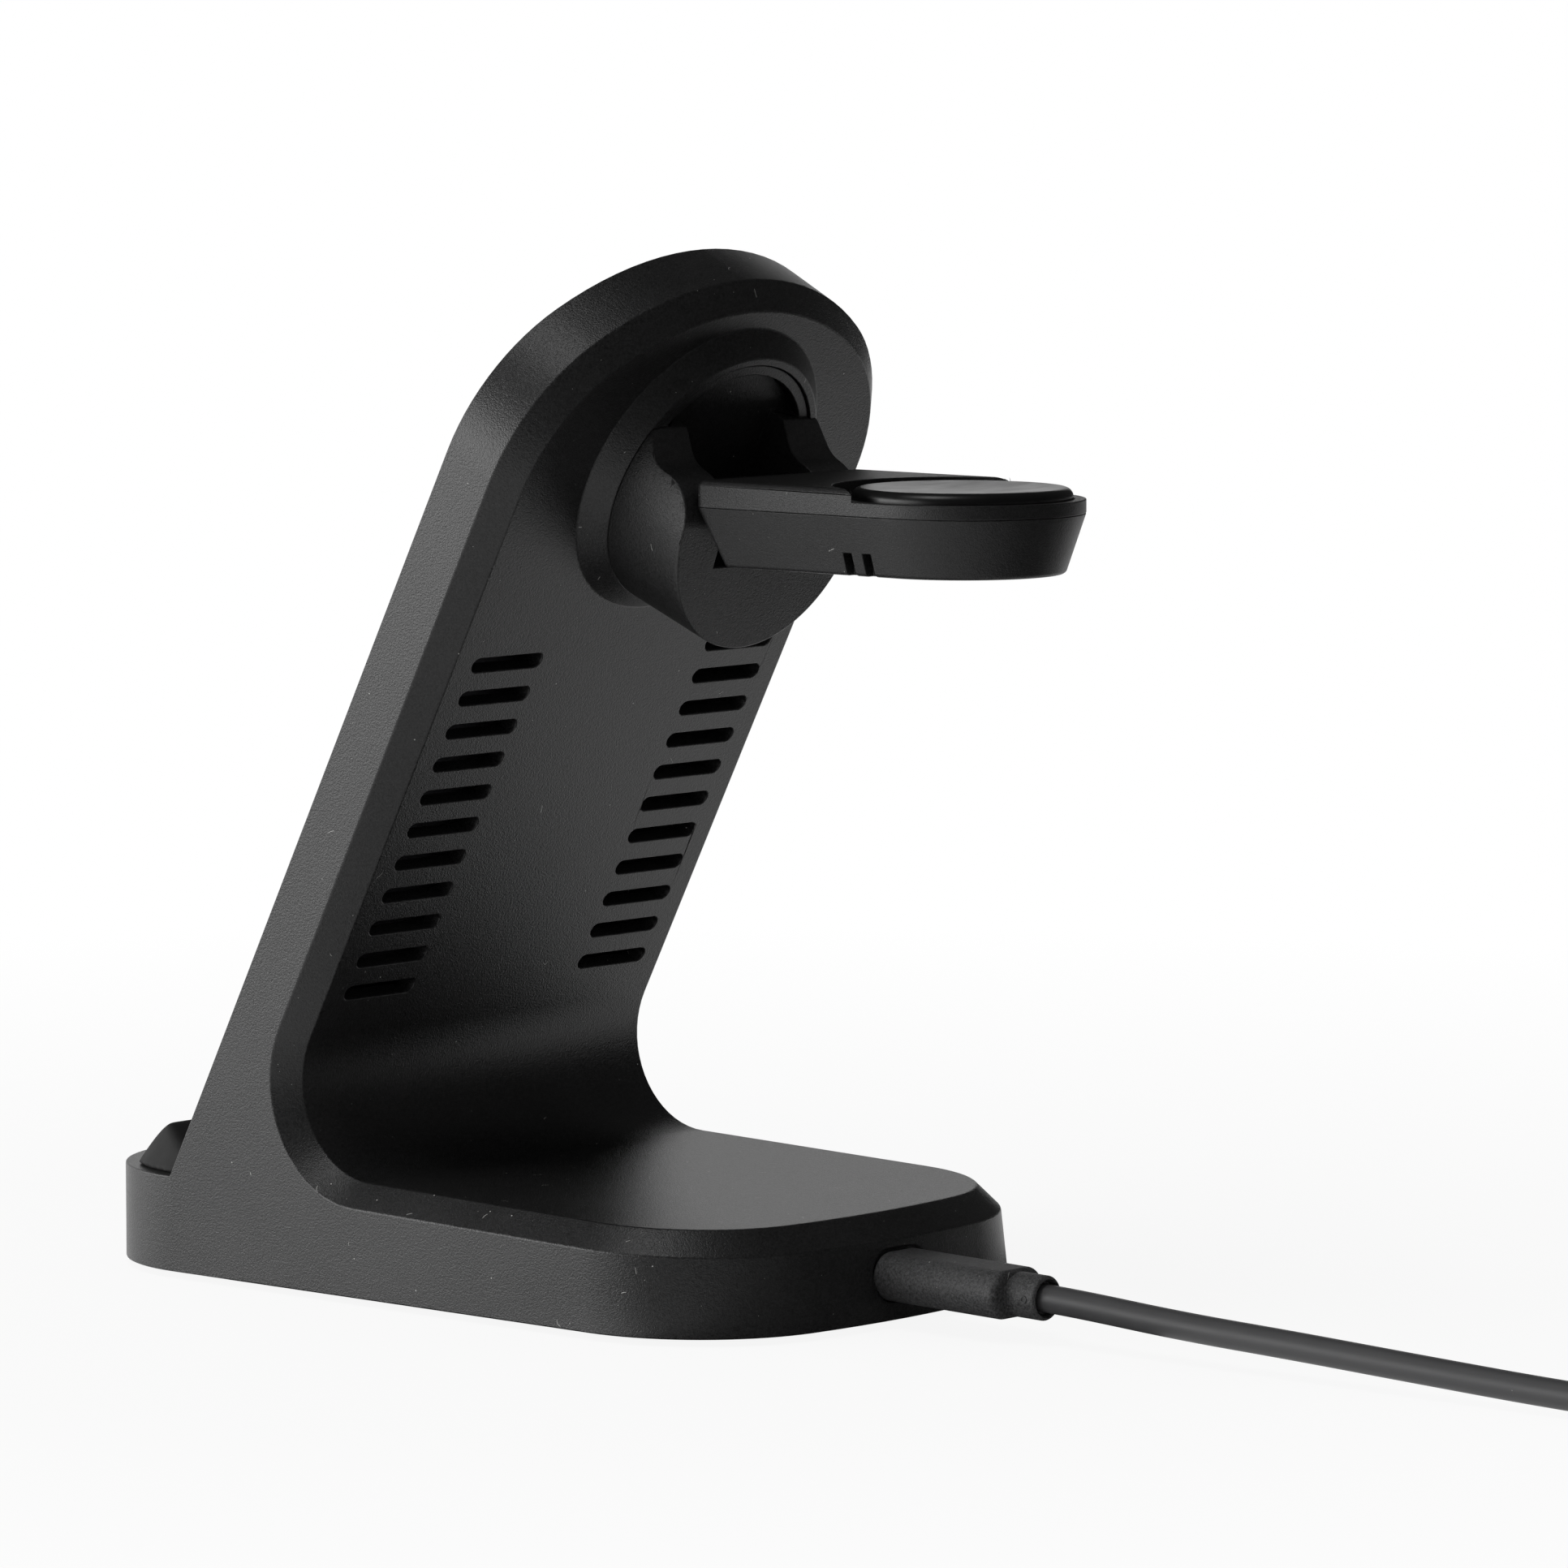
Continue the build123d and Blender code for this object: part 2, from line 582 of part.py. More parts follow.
def phone_stack():
    """Two flat coils on the front panel and the ferrite sheet behind them."""
    back = INSIDE_FRONT + COIL_THICK
    eye = RectangleRounded(*PHONE_COIL_EYE, PHONE_EYE_ROUND)
    ring = RectangleRounded(*PHONE_COIL, PHONE_COIL_ROUND) - eye
    rise = (PHONE_COIL[1] + FIT) / 2
    sheet = Pos(0, PHONE_COIL_MIDDLE) * Rectangle(*PHONE_FERRITE)
    return {
        "phone_coil_upper": lean_slab(Pos(0, PHONE_COIL_MIDDLE + rise) * ring, INSIDE_FRONT, back),
        "phone_coil_lower": lean_slab(Pos(0, PHONE_COIL_MIDDLE - rise) * ring, INSIDE_FRONT, back),
        "phone_ferrite": lean_slab(sheet, back, back + FERRITE_THICK),
    }


def earbud_stack():
    """Round coil and ferrite under the deck."""
    under = deck_height(EARBUD_BACK) - WALL / cos(radians(DECK_FALL))
    tilt = radians(DECK_FALL)
    deck = Plane((0, EARBUD_BACK, under), x_dir=(1, 0, 0), z_dir=(0, -sin(tilt), -cos(tilt)))
    coil = extrude(deck * (Circle(EARBUD_COIL) - Circle(EARBUD_EYE)), COIL_THICK)
    ferrite = extrude(deck.offset(COIL_THICK) * Circle(EARBUD_FERRITE), FERRITE_THICK)
    return {"earbud_coil": coil, "earbud_ferrite": ferrite}


def socket_size():
    """Outside of the port's metal shell."""
    return tuple(size + 2 * SOCKET_GAP + 2 * SOCKET_WALL for size in PLUG_METAL)


def board_rear():
    return REAR - 2 * WALL


def board_corners():
    inset = STANDOFF_RADIUS
    across = BOARD[0] / 2 - inset
    along = (board_rear() - BOARD[1] + inset, board_rear() - inset)
    return [(x, y) for x in (-across, across) for y in along]


def board_top():
    """The port stands on the board, so its height sets the board's."""
    return PORT_HEIGHT - socket_size()[1] / 2


def main_board():
    place = Pos(0, board_rear() - BOARD[1] / 2, board_top() - BOARD_THICK)
    return place * Box(*BOARD, BOARD_THICK, align=LOW)


def board_blocks(size, count, row):
    """A row of like parts across the board, `row` behind its front edge."""
    pitch = BOARD[0] / count
    y = board_rear() - BOARD[1] + row
    places = [Pos((k - (count - 1) / 2) * pitch, y, board_top()) for k in range(count)]
    return [place * Box(*size, align=LOW) for place in places]


def port_socket():
    """Metal shell of the port with its contact tongue, standing on the board."""
    size = socket_size()
    mouth = REAR - WALL
    hole = tuple(value - 2 * SOCKET_WALL for value in size)
    shell = stadium_bar(size, mouth - SOCKET_DEPTH, mouth, PORT_HEIGHT)
    shell -= stadium_bar(hole, mouth - METAL_REACH - FIT, REAR, PORT_HEIGHT)
    back = mouth - METAL_REACH - FIT - SOCKET_WALL
    tongue = Pos(0, back + METAL_REACH / 2, PORT_HEIGHT) * Box(TONGUE[0], METAL_REACH, TONGUE[1])
    return shell + tongue


def plug_grip():
    """Moulded grip and round collar of the plug, pointing along +Y from the base."""
    collar_start = GRIP_START + GRIP_LENGTH
    grip = stadium_bar(GRIP, GRIP_START, collar_start, PORT_HEIGHT)
    grip = fillet(grip.faces().sort_by(Axis.Y)[-1].edges(), GRIP_EDGE)
    plane = Plane((0, collar_start, PORT_HEIGHT), x_dir=(1, 0, 0), z_dir=(0, 1, 0))
    collar = extrude(plane * Circle(COLLAR_RADIUS), COLLAR_LENGTH)
    collar = fillet(collar.faces().sort_by(Axis.Y)[-1].edges(), COLLAR_EDGE)
    sink = Plane((0, CORD_START, PORT_HEIGHT), x_dir=(1, 0, 0), z_dir=(0, 1, 0)) * Circle(CORD_SINK_RADIUS)
    return grip + collar - extrude(sink, 2 * CORD_SINK)


def plug_shell():
    """Metal tube of the plug, standing out of the grip towards -Y."""
    hole = tuple(size - 2 * METAL_WALL for size in PLUG_METAL)
    tip = REAR - WALL - METAL_REACH
    tube = stadium_bar(PLUG_METAL, tip, GRIP_START, PORT_HEIGHT)
    return tube - stadium_bar(hole, tip - WALL, GRIP_START - METAL_WALL, PORT_HEIGHT)


def near_place():
    """The near plug's droop, about the middle of its metal in the port."""
    middle = Pos(0, REAR - WALL - METAL_REACH / 2, PORT_HEIGHT)
    return middle * Rot(-PLUG_TILT, 0, 0) * middle.inverse()


def far_place():
    """Shift from the near plug to the like one at the cable's other end."""
    x, y, z = TAIL_ROUTE[-1]
    return Pos(x, y - CORD_START, z - PORT_HEIGHT)


def cord_tube(name, points):
    """Cable along straight runs and tangent arcs."""
    points = [Vector(*point) for point in points]
    runs = [b - a for a, b in zip(points, points[1:])]
    radii = []
    for before, after in zip(runs, runs[1:]):
        turn = radians(before.get_angle(after))
        radii.append(ARC_SHARE * min(before.length, after.length) / tan(turn / 2))
    path = FilletPolyline(*points, radius=radii)
    section = Plane(points[0], z_dir=runs[0]) * Circle(CORD_RADIUS)
    tube = sweep(section, path)
    print(name, "radii", [round(radius, 1) for radius in radii], "length", round(path.length, 2),
          "volume ratio", round(tube.volume / (pi * CORD_RADIUS ** 2 * path.length), 4))
    return tube


def coil_radii():
    """Radii of the turns: the lower layer, then the upper one nested in its grooves."""
    step = 2 * CORD_RADIUS
    lower = [COIL_MEAN + (k - (LOWER_TURNS - 1) / 2) * step for k in range(LOWER_TURNS)]
    upper = [COIL_MEAN + (k - (LOWER_TURNS - 2) / 2) * step for k in range(LOWER_TURNS - 1)]
    return lower, upper


def coil_section():
    """Inner radius, outer radius and height of the wound coil."""
    lower = coil_radii()[0]
    height = (2 + sqrt(3)) * CORD_RADIUS
    return lower[0] - CORD_RADIUS, lower[-1] + CORD_RADIUS, height


def cord_coil():
    inner, outer, height = coil_section()
    place = Pos(*COIL_MIDDLE, TIE_THICK)
    ring = Cylinder(outer, height, align=LOW) - Cylinder(inner, height, align=LOW)
    ring = fillet(ring.edges().filter_by(GeomType.CIRCLE), CORD_RADIUS)
    return place * ring


def cord_tie():
    """Band round the coil's turns."""
    inner, outer, height = coil_section()
    near = sqrt(inner ** 2 - (TIE_WIDTH / 2) ** 2)
    middle = (near + outer) / 2
    wide = outer - near + 2 * FIT
    tall = height + FIT
    band = RectangleRounded(wide + 2 * TIE_THICK, tall + 2 * TIE_THICK, CORD_RADIUS + TIE_THICK)
    hole = RectangleRounded(wide, tall, CORD_RADIUS)
    place = (COIL_MIDDLE[0], COIL_MIDDLE[1] + middle, TIE_THICK + tall / 2)
    plane = Plane(place, x_dir=(0, 1, 0), z_dir=(1, 0, 0))
    return extrude(plane * (band - hole), TIE_WIDTH / 2, both=True)


def build():
    grip = plug_grip()
    metal = plug_shell()
    cord_start = near_place() * Pos(0, CORD_START, PORT_HEIGHT)
    parts = {
        "main_housing": main_housing(),
        "front_panel": front_panel(),
        "bottom_cover": bottom_cover(),
        "feet": feet(),
        "cover_screws": cover_screws(),
        "phone_stop": phone_stop(),
        "hinge_bracket": hinge_bracket(),
        "bracket_keeper": bracket_keeper(),
        "keeper_screws": keeper_screws(),
        "hinge_pin": hinge_pin(),
        "hinge_washers": hinge_washers(),
        "arm_shell": arm_shell(),
        "arm_cover": arm_cover(),
        "charging_disc": charging_disc(),
        "main_board": main_board(),
        "board_chips": board_blocks(CHIP, CHIP_COUNT, CHIP_ROW),
        "board_inductors": board_blocks(INDUCTOR, INDUCTOR_COUNT, INDUCTOR_ROW),
        "port_socket": port_socket(),
        "plug_grip": near_place() * grip,
        "plug_shell": near_place() * metal,
        "cord_lead": cord_tube("lead", [tuple(cord_start.position)] + CORD_ROUTE),
        "cord_coil": cord_coil(),
        "cord_tail": cord_tube("tail", TAIL_ROUTE),
        "cord_tie": cord_tie(),
        "far_plug_grip": far_place() * grip,
        "far_plug_shell": far_place() * metal,
    }
    parts.update(watch_stack())
    parts.update(phone_stack())
    parts.update(earbud_stack())
    return parts


os.makedirs("parts", exist_ok=True)
for name, shape in build().items():
    solid = Compound(children=shape) if isinstance(shape, list) else shape
    export_step(solid, f"parts/{name}.step")
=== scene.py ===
"""Looks of a three in one wireless charger, built around its CAD model.

The leaning phone stand, the earbud deck, the folding watch arm and the cable are dressed in metres, in the
frame of the CAD model: +Z up, the phone's side towards -Y, the deck and the cable towards +Y.
"""

import math

import bmesh
import bpy
from bpy.props import FloatProperty, FloatVectorProperty, IntProperty, PointerProperty
from mathutils import Matrix, Vector


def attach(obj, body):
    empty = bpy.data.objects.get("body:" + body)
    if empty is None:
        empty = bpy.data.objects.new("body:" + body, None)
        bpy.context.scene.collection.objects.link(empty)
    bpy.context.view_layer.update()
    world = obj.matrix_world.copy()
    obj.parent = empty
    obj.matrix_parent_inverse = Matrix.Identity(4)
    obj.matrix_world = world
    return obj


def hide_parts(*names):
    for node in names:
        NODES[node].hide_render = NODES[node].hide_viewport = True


bl_info = {
    "name": "Wireless Charger Looks",
    "version": (1, 0, 0),
    "blender": (4, 5, 0),
    "location": "3D View > Sidebar > Charger",
    "description": "Dresses the CAD model of a three in one wireless charger for rendering",
    "category": "Object",
}

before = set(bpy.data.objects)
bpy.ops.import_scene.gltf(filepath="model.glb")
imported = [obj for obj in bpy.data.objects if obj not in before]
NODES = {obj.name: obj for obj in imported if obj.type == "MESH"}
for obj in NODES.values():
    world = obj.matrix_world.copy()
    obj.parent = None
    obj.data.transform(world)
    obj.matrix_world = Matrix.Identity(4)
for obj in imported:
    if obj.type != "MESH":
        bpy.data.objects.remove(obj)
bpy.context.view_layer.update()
MM = 0.001
STAND = "stand"
ARM = "watch_arm"

# The cable's route in metres, from the plug's collar to the coil and from the coil to the far plug
CORD_LEAD = [
    (0, 0.08584, 0.00634), (0, 0.09125, 0.00622), (0, 0.1100, 0.00508), (0, 0.1280, 0.00458),
    (-0.0003, 0.1460, 0.0038), (-0.0010, 0.1720, 0.0027), (-0.0015, 0.1983, 0.0025),
]
CORD_TAIL = [(-0.0488, 0.1958, 0.0052), (-0.0492, 0.1875, 0.0034), (-0.0492, 0.1800, 0.0034)]
COIL_MIDDLE = Vector((-0.026, 0.213))
COIL_FLOOR = 0.0006        # the tie's thickness under the lowest turn
COIL_OUTER = 0.02495       # middle of the outermost turn
COIL_LOWER = 4
COIL_UPPER = 2.5
COIL_STEPS = 24            # control points on each turn
LOWER_JOG = (200, 270)     # degrees round the coil where a lower turn moves in to the next
UPPER_JOG = (280, 350)

# The flat coils, in metres: outside, eye, corner rounding, turns, and the lean of the coil in degrees
WINDINGS = {
    "phone_coil_upper": ((0.044, 0.038), (0.022, 0.016), 0.014, 7, 62.5),
    "phone_coil_lower": ((0.044, 0.038), (0.022, 0.016), 0.014, 7, 62.5),
    "earbud_coil": ((0.040, 0.040), (0.018, 0.018), 0.020, 7, -1.46),
    "watch_coil": ((0.023, 0.023), (0.0104, 0.0104), 0.0115, 4, 0),
}
WIRE_RADIUS = 0.00074

# The four feet, in metres: the distances between their middles, and the place of the middle of all four
FEET_ACROSS = 0.048
FEET_ALONG = 0.0944
FEET_BACK = -0.00255
FOOT_PROFILE = [
    (0, 0), (0.0055, 0), (0.0057, 0.00005), (0.00587, 0.00015),
    (0.006, 0.0005), (0.006, 0.0016), (0, 0.0016),
]

# The ring left on the plug's collar where it was moulded from, in metres
GATE_MARK = Vector((0.0030, 0.0854, 0.00636))
GATE_PROFILE = [
    (0, 0), (0.00052, 0), (0.00050, 0.00016), (0.00036, 0.00016), (0.00030, 0.00006), (0, 0.00006),
]

# The photograph's view, in metres
CAMERA_PLACE = Vector((0.8595, 0.79425, 0.1880))
CAMERA_AIM = Vector((0, 0.04035, 0.0736))
CAMERA_LENS = 194.09
CAMERA_SHIFT = -0.00735

# The studio, in metres: size and place of each softbox
SIDE_SOFTBOX = ((1.8, 0.6), (0.95, -0.85, 0.28))
TOP_SOFTBOX = ((0.48, 0.48), (0.47, -0.08, 1.17))

# Painted shade that only reflections show: a dark tent for dark surroundings and dark sheets for the shadow
# on the floor, in metres, with each sheet's half size and middle
TENT_RADIUS = 3.0
TENT_FRONT = -1.6          # the tent is open in front of this
TENT_LIP = 1.0             # and below this height
PAINTED_SHADE_SHEETS = {
    "painted_shade_under": ((0.052, 0.0675), (-0.014, 0.0375)),
    "painted_shade_side": ((0.020, 0.020), (0.068, 0.036)),
    "painted_shade_far_floor": ((0.7, 0.7), (-0.72, 0.81)),
    "painted_shade_near_floor": ((0.9, 0.7), (0.88, 0.90)),
}
SHADE_SHEET_HEIGHT = 0.0008
# the faint glow of the painted shade, a glow from no lamp that sets how dark its reflections look
SHADE_GLOW = 0.045

# The share of plain white in the floor, near the object and away from it, and the distances in millimetres
FLOOR_WHITE = (0.9, 1.0)
FLOOR_FADE = (120.0, 420.0)


def colour_property(name, description, default):
    return FloatVectorProperty(name=name, description=description, subtype="COLOR", size=3,
                               min=0, max=1, default=default)


def length_property(name, description, default):
    return FloatProperty(name=name, description=description, unit="LENGTH", subtype="DISTANCE",
                         min=0, precision=5, default=default)


def power_property(name, description, default):
    return FloatProperty(name=name, description=description, unit="POWER", min=0, default=default)


class ChargerColours(bpy.types.PropertyGroup):
    """Colours of the charger's finishes, as linear values"""

    housing: colour_property("Housing", "Grained moulding of the base and back", (0.0145, 0.0145, 0.0147))
    panel: colour_property("Panels", "Front panel and base cover", (0.011, 0.011, 0.0112))
    arm: colour_property("Arm", "Watch arm", (0.0105, 0.0105, 0.0107))
    puck: colour_property("Puck", "Polished charging puck", (0.005, 0.005, 0.0052))
    rubber: colour_property("Rubber", "Phone stop and feet", (0.011, 0.011, 0.011))
    grip: colour_property("Plug grip", "Soft grip of the plugs", (0.055, 0.055, 0.0561))
    cord: colour_property("Cable", "Sheath of the cable", (0.058, 0.058, 0.0597))
    tie: colour_property("Tie", "Woven tie round the coil", (0.012, 0.012, 0.013))
    steel: colour_property("Steel", "Plug shells, pin and screws", (0.56, 0.56, 0.57))
    copper: colour_property("Winding", "Copper of the coils", (0.70, 0.33, 0.17))
    ferrite: colour_property("Ferrite", "Sheets behind the coils", (0.040, 0.040, 0.043))
    board: colour_property("Board", "Circuit board", (0.015, 0.10, 0.045))
    dust: colour_property("Dust", "Specks and fibres that lie on the plastic", (0.55, 0.55, 0.53))


class ChargerFinish(bpy.types.PropertyGroup):
    """Sizes of the charger's surface detail"""

    grain: length_property("Grain", "Width of the moulded grain", 0.00017)
    grain_depth: length_property("Grain depth", "Depth of the moulded grain", 0.000052)
    edge: length_property("Edge", "Rounding of the moulded edges", 0.00022)
    dust_spacing: length_property("Dust spacing", "Distance between specks of dust", 0.0034)
    dust_size: length_property("Dust size", "Radius of a speck of dust", 0.00010)


class ChargerCable(bpy.types.PropertyGroup):
    """Sizes of the cable"""

    diameter: length_property("Diameter", "Thickness of the cable", 0.0038)
    length: length_property("Length", "Length from plug to plug", 0.920)
    sides: IntProperty(name="Sides", description="Smoothness of the cable's section", min=1, default=5)


class ChargerStage(bpy.types.PropertyGroup):
    """Floor and light of the studio"""

    floor: length_property("Floor", "Radius of the floor", 12.0)
    ambient: FloatProperty(name="Ambient", description="Strength of the even light", min=0, default=0.25)
    key: power_property("Key light", "Power of the side softbox", 14.0)
    top: power_property("Top light", "Power of the overhead softbox", 3.4)


class Value:
    """A number in a node tree, on which sums and tests add Math nodes"""

    def __init__(self, tree, socket):
        self.tree = tree
        self.socket = socket

    def __add__(self, other):
        return self.tree.math("ADD", self, other)

    def __radd__(self, other):
        return self.tree.math("ADD", other, self)

    def __sub__(self, other):
        return self.tree.math("SUBTRACT", self, other)

    def __rsub__(self, other):
        return self.tree.math("SUBTRACT", other, self)

    def __mul__(self, other):
        return self.tree.math("MULTIPLY", self, other)

    def __rmul__(self, other):
        return self.tree.math("MULTIPLY", other, self)

    def __truediv__(self, other):
        return self.tree.math("DIVIDE", self, other)

    def __rtruediv__(self, other):
        return self.tree.math("DIVIDE", other, self)

    def __lt__(self, other):
        return self.tree.math("LESS_THAN", self, other)

    def __gt__(self, other):
        return self.tree.math("GREATER_THAN", self, other)

    def __abs__(self):
        return self.tree.math("ABSOLUTE", self)

    def over(self, other):
        return self.tree.math("MAXIMUM", self, other)


class Tree:
    """A node tree that is filled by the script"""

    tree = None

    def add(self, kind, settings=None, sockets=None):
        node = self.tree.nodes.new(kind)
        for key, value in (settings or {}).items():
            setattr(node, key, value)
        for key, value in (sockets or {}).items():
            self.feed(node.inputs[key], value)
        return node

    def feed(self, socket, value):
        source = value.socket if isinstance(value, Value) else value
        if isinstance(source, bpy.types.NodeSocket):
            self.tree.links.new(source, socket)
        else:
            socket.default_value = source

    def math(self, operation, *values):
        node = self.add("ShaderNodeMath", {"operation": operation}, dict(enumerate(values)))
        return Value(self, node.outputs[0])

    def vector(self, operation, *values):
        node = self.add("ShaderNodeVectorMath", {"operation": operation}, dict(enumerate(values)))
        return node.outputs["Value"] if operation in ("DOT_PRODUCT", "LENGTH") else node.outputs["Vector"]

    def dot(self, one, other):
        return Value(self, self.vector("DOT_PRODUCT", one, other))


class Finish(Tree):
    """A node material for one finish, with textures measured in millimetres of the object's frame"""

    def __init__(self, name, **sockets):
        self.material = bpy.data.materials.new(name)
        self.open_tree(self.material)
        values = {key.replace("_", " "): value for key, value in sockets.items()}
        self.shader = self.add("ShaderNodeBsdfPrincipled", sockets=values)
        self.output = self.add("ShaderNodeOutputMaterial", sockets={"Surface": self.shader.outputs[0]})

    @classmethod
    def of_world(cls, world):
        """The same helper for a world's empty node tree."""
        finish = cls.__new__(cls)
        finish.open_tree(world)
        return finish

    def open_tree(self, owner):
        owner.use_nodes = True
        self.tree = owner.node_tree
        self.tree.nodes.clear()

    def place(self, stretch=(1, 1, 1)):
        """Object coordinates in millimetres, stretched along the axes."""
        coordinates = self.add("ShaderNodeTexCoord").outputs["Object"]
        return self.vector("MULTIPLY", coordinates, tuple(share / MM for share in stretch))

    def noise(self, place, size, detail=2.0):
        """Cloudy noise from 0 to 1, with features of that size in millimetres."""
        sockets = {"Vector": place, "Scale": 1 / size, "Detail": detail}
        return Value(self, self.add("ShaderNodeTexNoise", sockets=sockets).outputs["Fac"])

    def blend(self, factor, one, other):
        """A colour between two others."""
        node = self.add("ShaderNodeMix", {"data_type": "RGBA"}, {0: factor, 6: one, 7: other})
        return node.outputs[2]

    def cells(self, place, spacing):
        """For a scatter of cells: the offset from the cell's middle, and a random colour for each cell."""
        sockets = {"Vector": place, "Scale": 1 / spacing}
        node = self.add("ShaderNodeTexVoronoi", {"feature": "F1"}, sockets)
        offset = self.vector("SUBTRACT", place, node.outputs["Position"])
        return offset, node.outputs["Color"]

    def bump(self, height, depth):
        """Raises the surface by a height from 0 to 1 times a depth in metres."""
        node = self.add("ShaderNodeBump", sockets={"Height": height, "Distance": depth})
        self.feed(self.shader.inputs["Normal"], node.outputs["Normal"])

    def paint(self, colour, roughness):
        self.feed(self.shader.inputs["Base Color"], colour)
        self.feed(self.shader.inputs["Roughness"], roughness)


def seen_rays(finish):
    """1 for rays that show the background itself: from the camera, off a shiny surface or through glass."""
    path = finish.add("ShaderNodeLightPath").outputs
    kinds = ("Camera", "Glossy", "Transmission")
    camera, glossy, through = (Value(finish, path[f"Is {kind} Ray"]) for kind in kinds)
    return camera.over(glossy).over(through)


def opaque(colour, share=1.0):
    """A property's colour with an alpha, made lighter or darker by a share."""
    return tuple(part * share for part in colour) + (1.0,)


def dusted(finish, colour, dirt, share):
    """A colour with that share of it hidden where dust lies."""
    return finish.blend(dirt * share, colour, opaque(bpy.context.scene.charger_colours.dust))


def specks(finish, place, spacing, size, share):
    """Mask of round specks of dust in a share of the scattered cells."""
    offset, random = finish.cells(place, spacing)
    near = Value(finish, finish.vector("LENGTH", offset)) < size
    parts = finish.add("ShaderNodeSeparateColor", sockets={0: random})
    return near * (Value(finish, parts.outputs[0]) < share)


def fibres(finish, place, spacing, half_length, half_width, share):
    """Mask of short bent fibres, each a thin curved sheet cut by the surface."""
    offset, random = finish.cells(place, spacing)
    parts = finish.add("ShaderNodeSeparateColor", sockets={0: random})
    across = finish.vector("NORMALIZE", finish.vector("SUBTRACT", random, (0.5, 0.5, 0.5)))
    along = finish.vector("NORMALIZE", finish.vector("CROSS_PRODUCT", across, (0.36, 0.48, 0.80)))
    run = finish.dot(offset, along)
    bend = (Value(finish, parts.outputs[1]) - 0.5) * 2
    sheet = abs(finish.dot(offset, across) - bend * run * run) < half_width
    near = Value(finish, finish.vector("LENGTH", offset)) < half_length
    return sheet * near * (Value(finish, parts.outputs[2]) < share)


def moulded(name, colour, roughness, dust=1.0, grain=1.0):
    """Moulded plastic: a fine eroded grain, faint clouding, and dust and fibres lying on it."""
    sizes = bpy.context.scene.charger_finish
    finish = Finish(name, Specular_IOR_Level=0.42)
    place = finish.place()
    size = sizes.grain * grain / MM
    pits = finish.noise(place, size, 1.0)
    swell = finish.noise(place, size * 2.1, 1.0)
    cloud = finish.noise(place, 22.0, 3.0)
    base = finish.blend((pits + swell - 1) * 1.6 + cloud, opaque(colour, 0.4), opaque(colour, 1.6))
    spacing = sizes.dust_spacing / MM
    dirt = specks(finish, place, spacing, sizes.dust_size / MM, 0.6 * dust)
    dirt = dirt.over(specks(finish, place, spacing / 2.7, 0.05, 0.30 * dust))
    dirt = dirt.over(fibres(finish, place, spacing * 1.9, 0.62, 0.03, 0.6 * dust))
    finish.paint(dusted(finish, base, dirt, 0.75), roughness + (pits - 0.5) * 0.16 + dirt * 0.3)
    finish.bump(pits + swell * 0.7, sizes.grain_depth)
    return finish.material


def soft_rubber(name, colour):
    """Dull rubber with a dry bloom and fine specks."""
    finish = Finish(name, Specular_IOR_Level=0.3)
    place = finish.place()
    bloom = finish.noise(place, 2.6, 4.0)
    pores = finish.noise(place, 0.11, 2.0)
    dirt = specks(finish, place, 1.5, 0.06, 0.4)
    base = finish.blend(bloom, opaque(colour, 0.75), opaque(colour, 1.35))
    finish.paint(dusted(finish, base, dirt, 0.45), 0.72 + (bloom - 0.5) * 0.2)
    finish.bump(pores + bloom * 0.4, 0.000012)
    return finish.material


def polished(name, colour):
    """Polished plastic with faint handling marks."""
    finish = Finish(name, Specular_IOR_Level=0.35)
    place = finish.place()
    smear = finish.noise(finish.place((1, 2.2, 1)), 6.0, 4.0)
    dirt = specks(finish, place, 2.2, 0.05, 0.35)
    finish.paint(dusted(finish, opaque(colour), dirt, 0.5), 0.26 + smear * 0.16)
    return finish.material


def sheath(name, colour):
    """Smooth cable sheath, faintly wavy, with a little dust."""
    finish = Finish(name, Specular_IOR_Level=0.4)
    place = finish.place()
    cloud = finish.noise(place, 5.0, 3.0)
    skin = finish.noise(place, 0.13, 2.0)
    dirt = specks(finish, place, 2.4, 0.06, 0.5).over(fibres(finish, place, 5.0, 0.4, 0.03, 0.5))
    base = finish.blend(cloud, opaque(colour, 0.88), opaque(colour, 1.12))
    finish.paint(dusted(finish, base, dirt, 0.6), 0.52 + (cloud - 0.5) * 0.16)
    finish.bump(skin + cloud * 0.5, 0.000008)
    return finish.material


def woven(name, colour):
    """Plain weave of a narrow tape."""
    finish = Finish(name, Specular_IOR_Level=0.2)
    place = finish.place()
    warp = finish.add("ShaderNodeTexWave", {"bands_direction": "X", "wave_profile": "SIN"},
                      {"Vector": place, "Scale": 0.62, "Distortion": 0.4, "Detail": 1.0})
    weft = finish.add("ShaderNodeTexWave", {"bands_direction": "Y", "wave_profile": "SIN"},
                      {"Vector": place, "Scale": 0.62, "Distortion": 0.4, "Detail": 1.0})
    weave = Value(finish, warp.outputs["Fac"]).over(Value(finish, weft.outputs["Fac"]))
    fuzz = finish.noise(place, 0.2, 3.0)
    finish.paint(finish.blend(weave * fuzz, opaque(colour, 0.6), opaque(colour, 1.9)), 0.85 - weave * 0.1)
    finish.bump(weave + fuzz * 0.5, 0.00008)
    return finish.material


def metal(name, colour, roughness, stretch):
    """Drawn or plated metal, brushed along one axis."""
    finish = Finish(name, Metallic=1.0)
    lines = finish.noise(finish.place(stretch), 0.12, 3.0)
    cloud = finish.noise(finish.place(), 1.6, 3.0)
    base = finish.blend(cloud, opaque(colour, 0.85), opaque(colour, 1.1))
    finish.paint(base, roughness + (lines - 0.5) * 0.2)
    finish.bump(lines, 0.000004)
    return finish.material


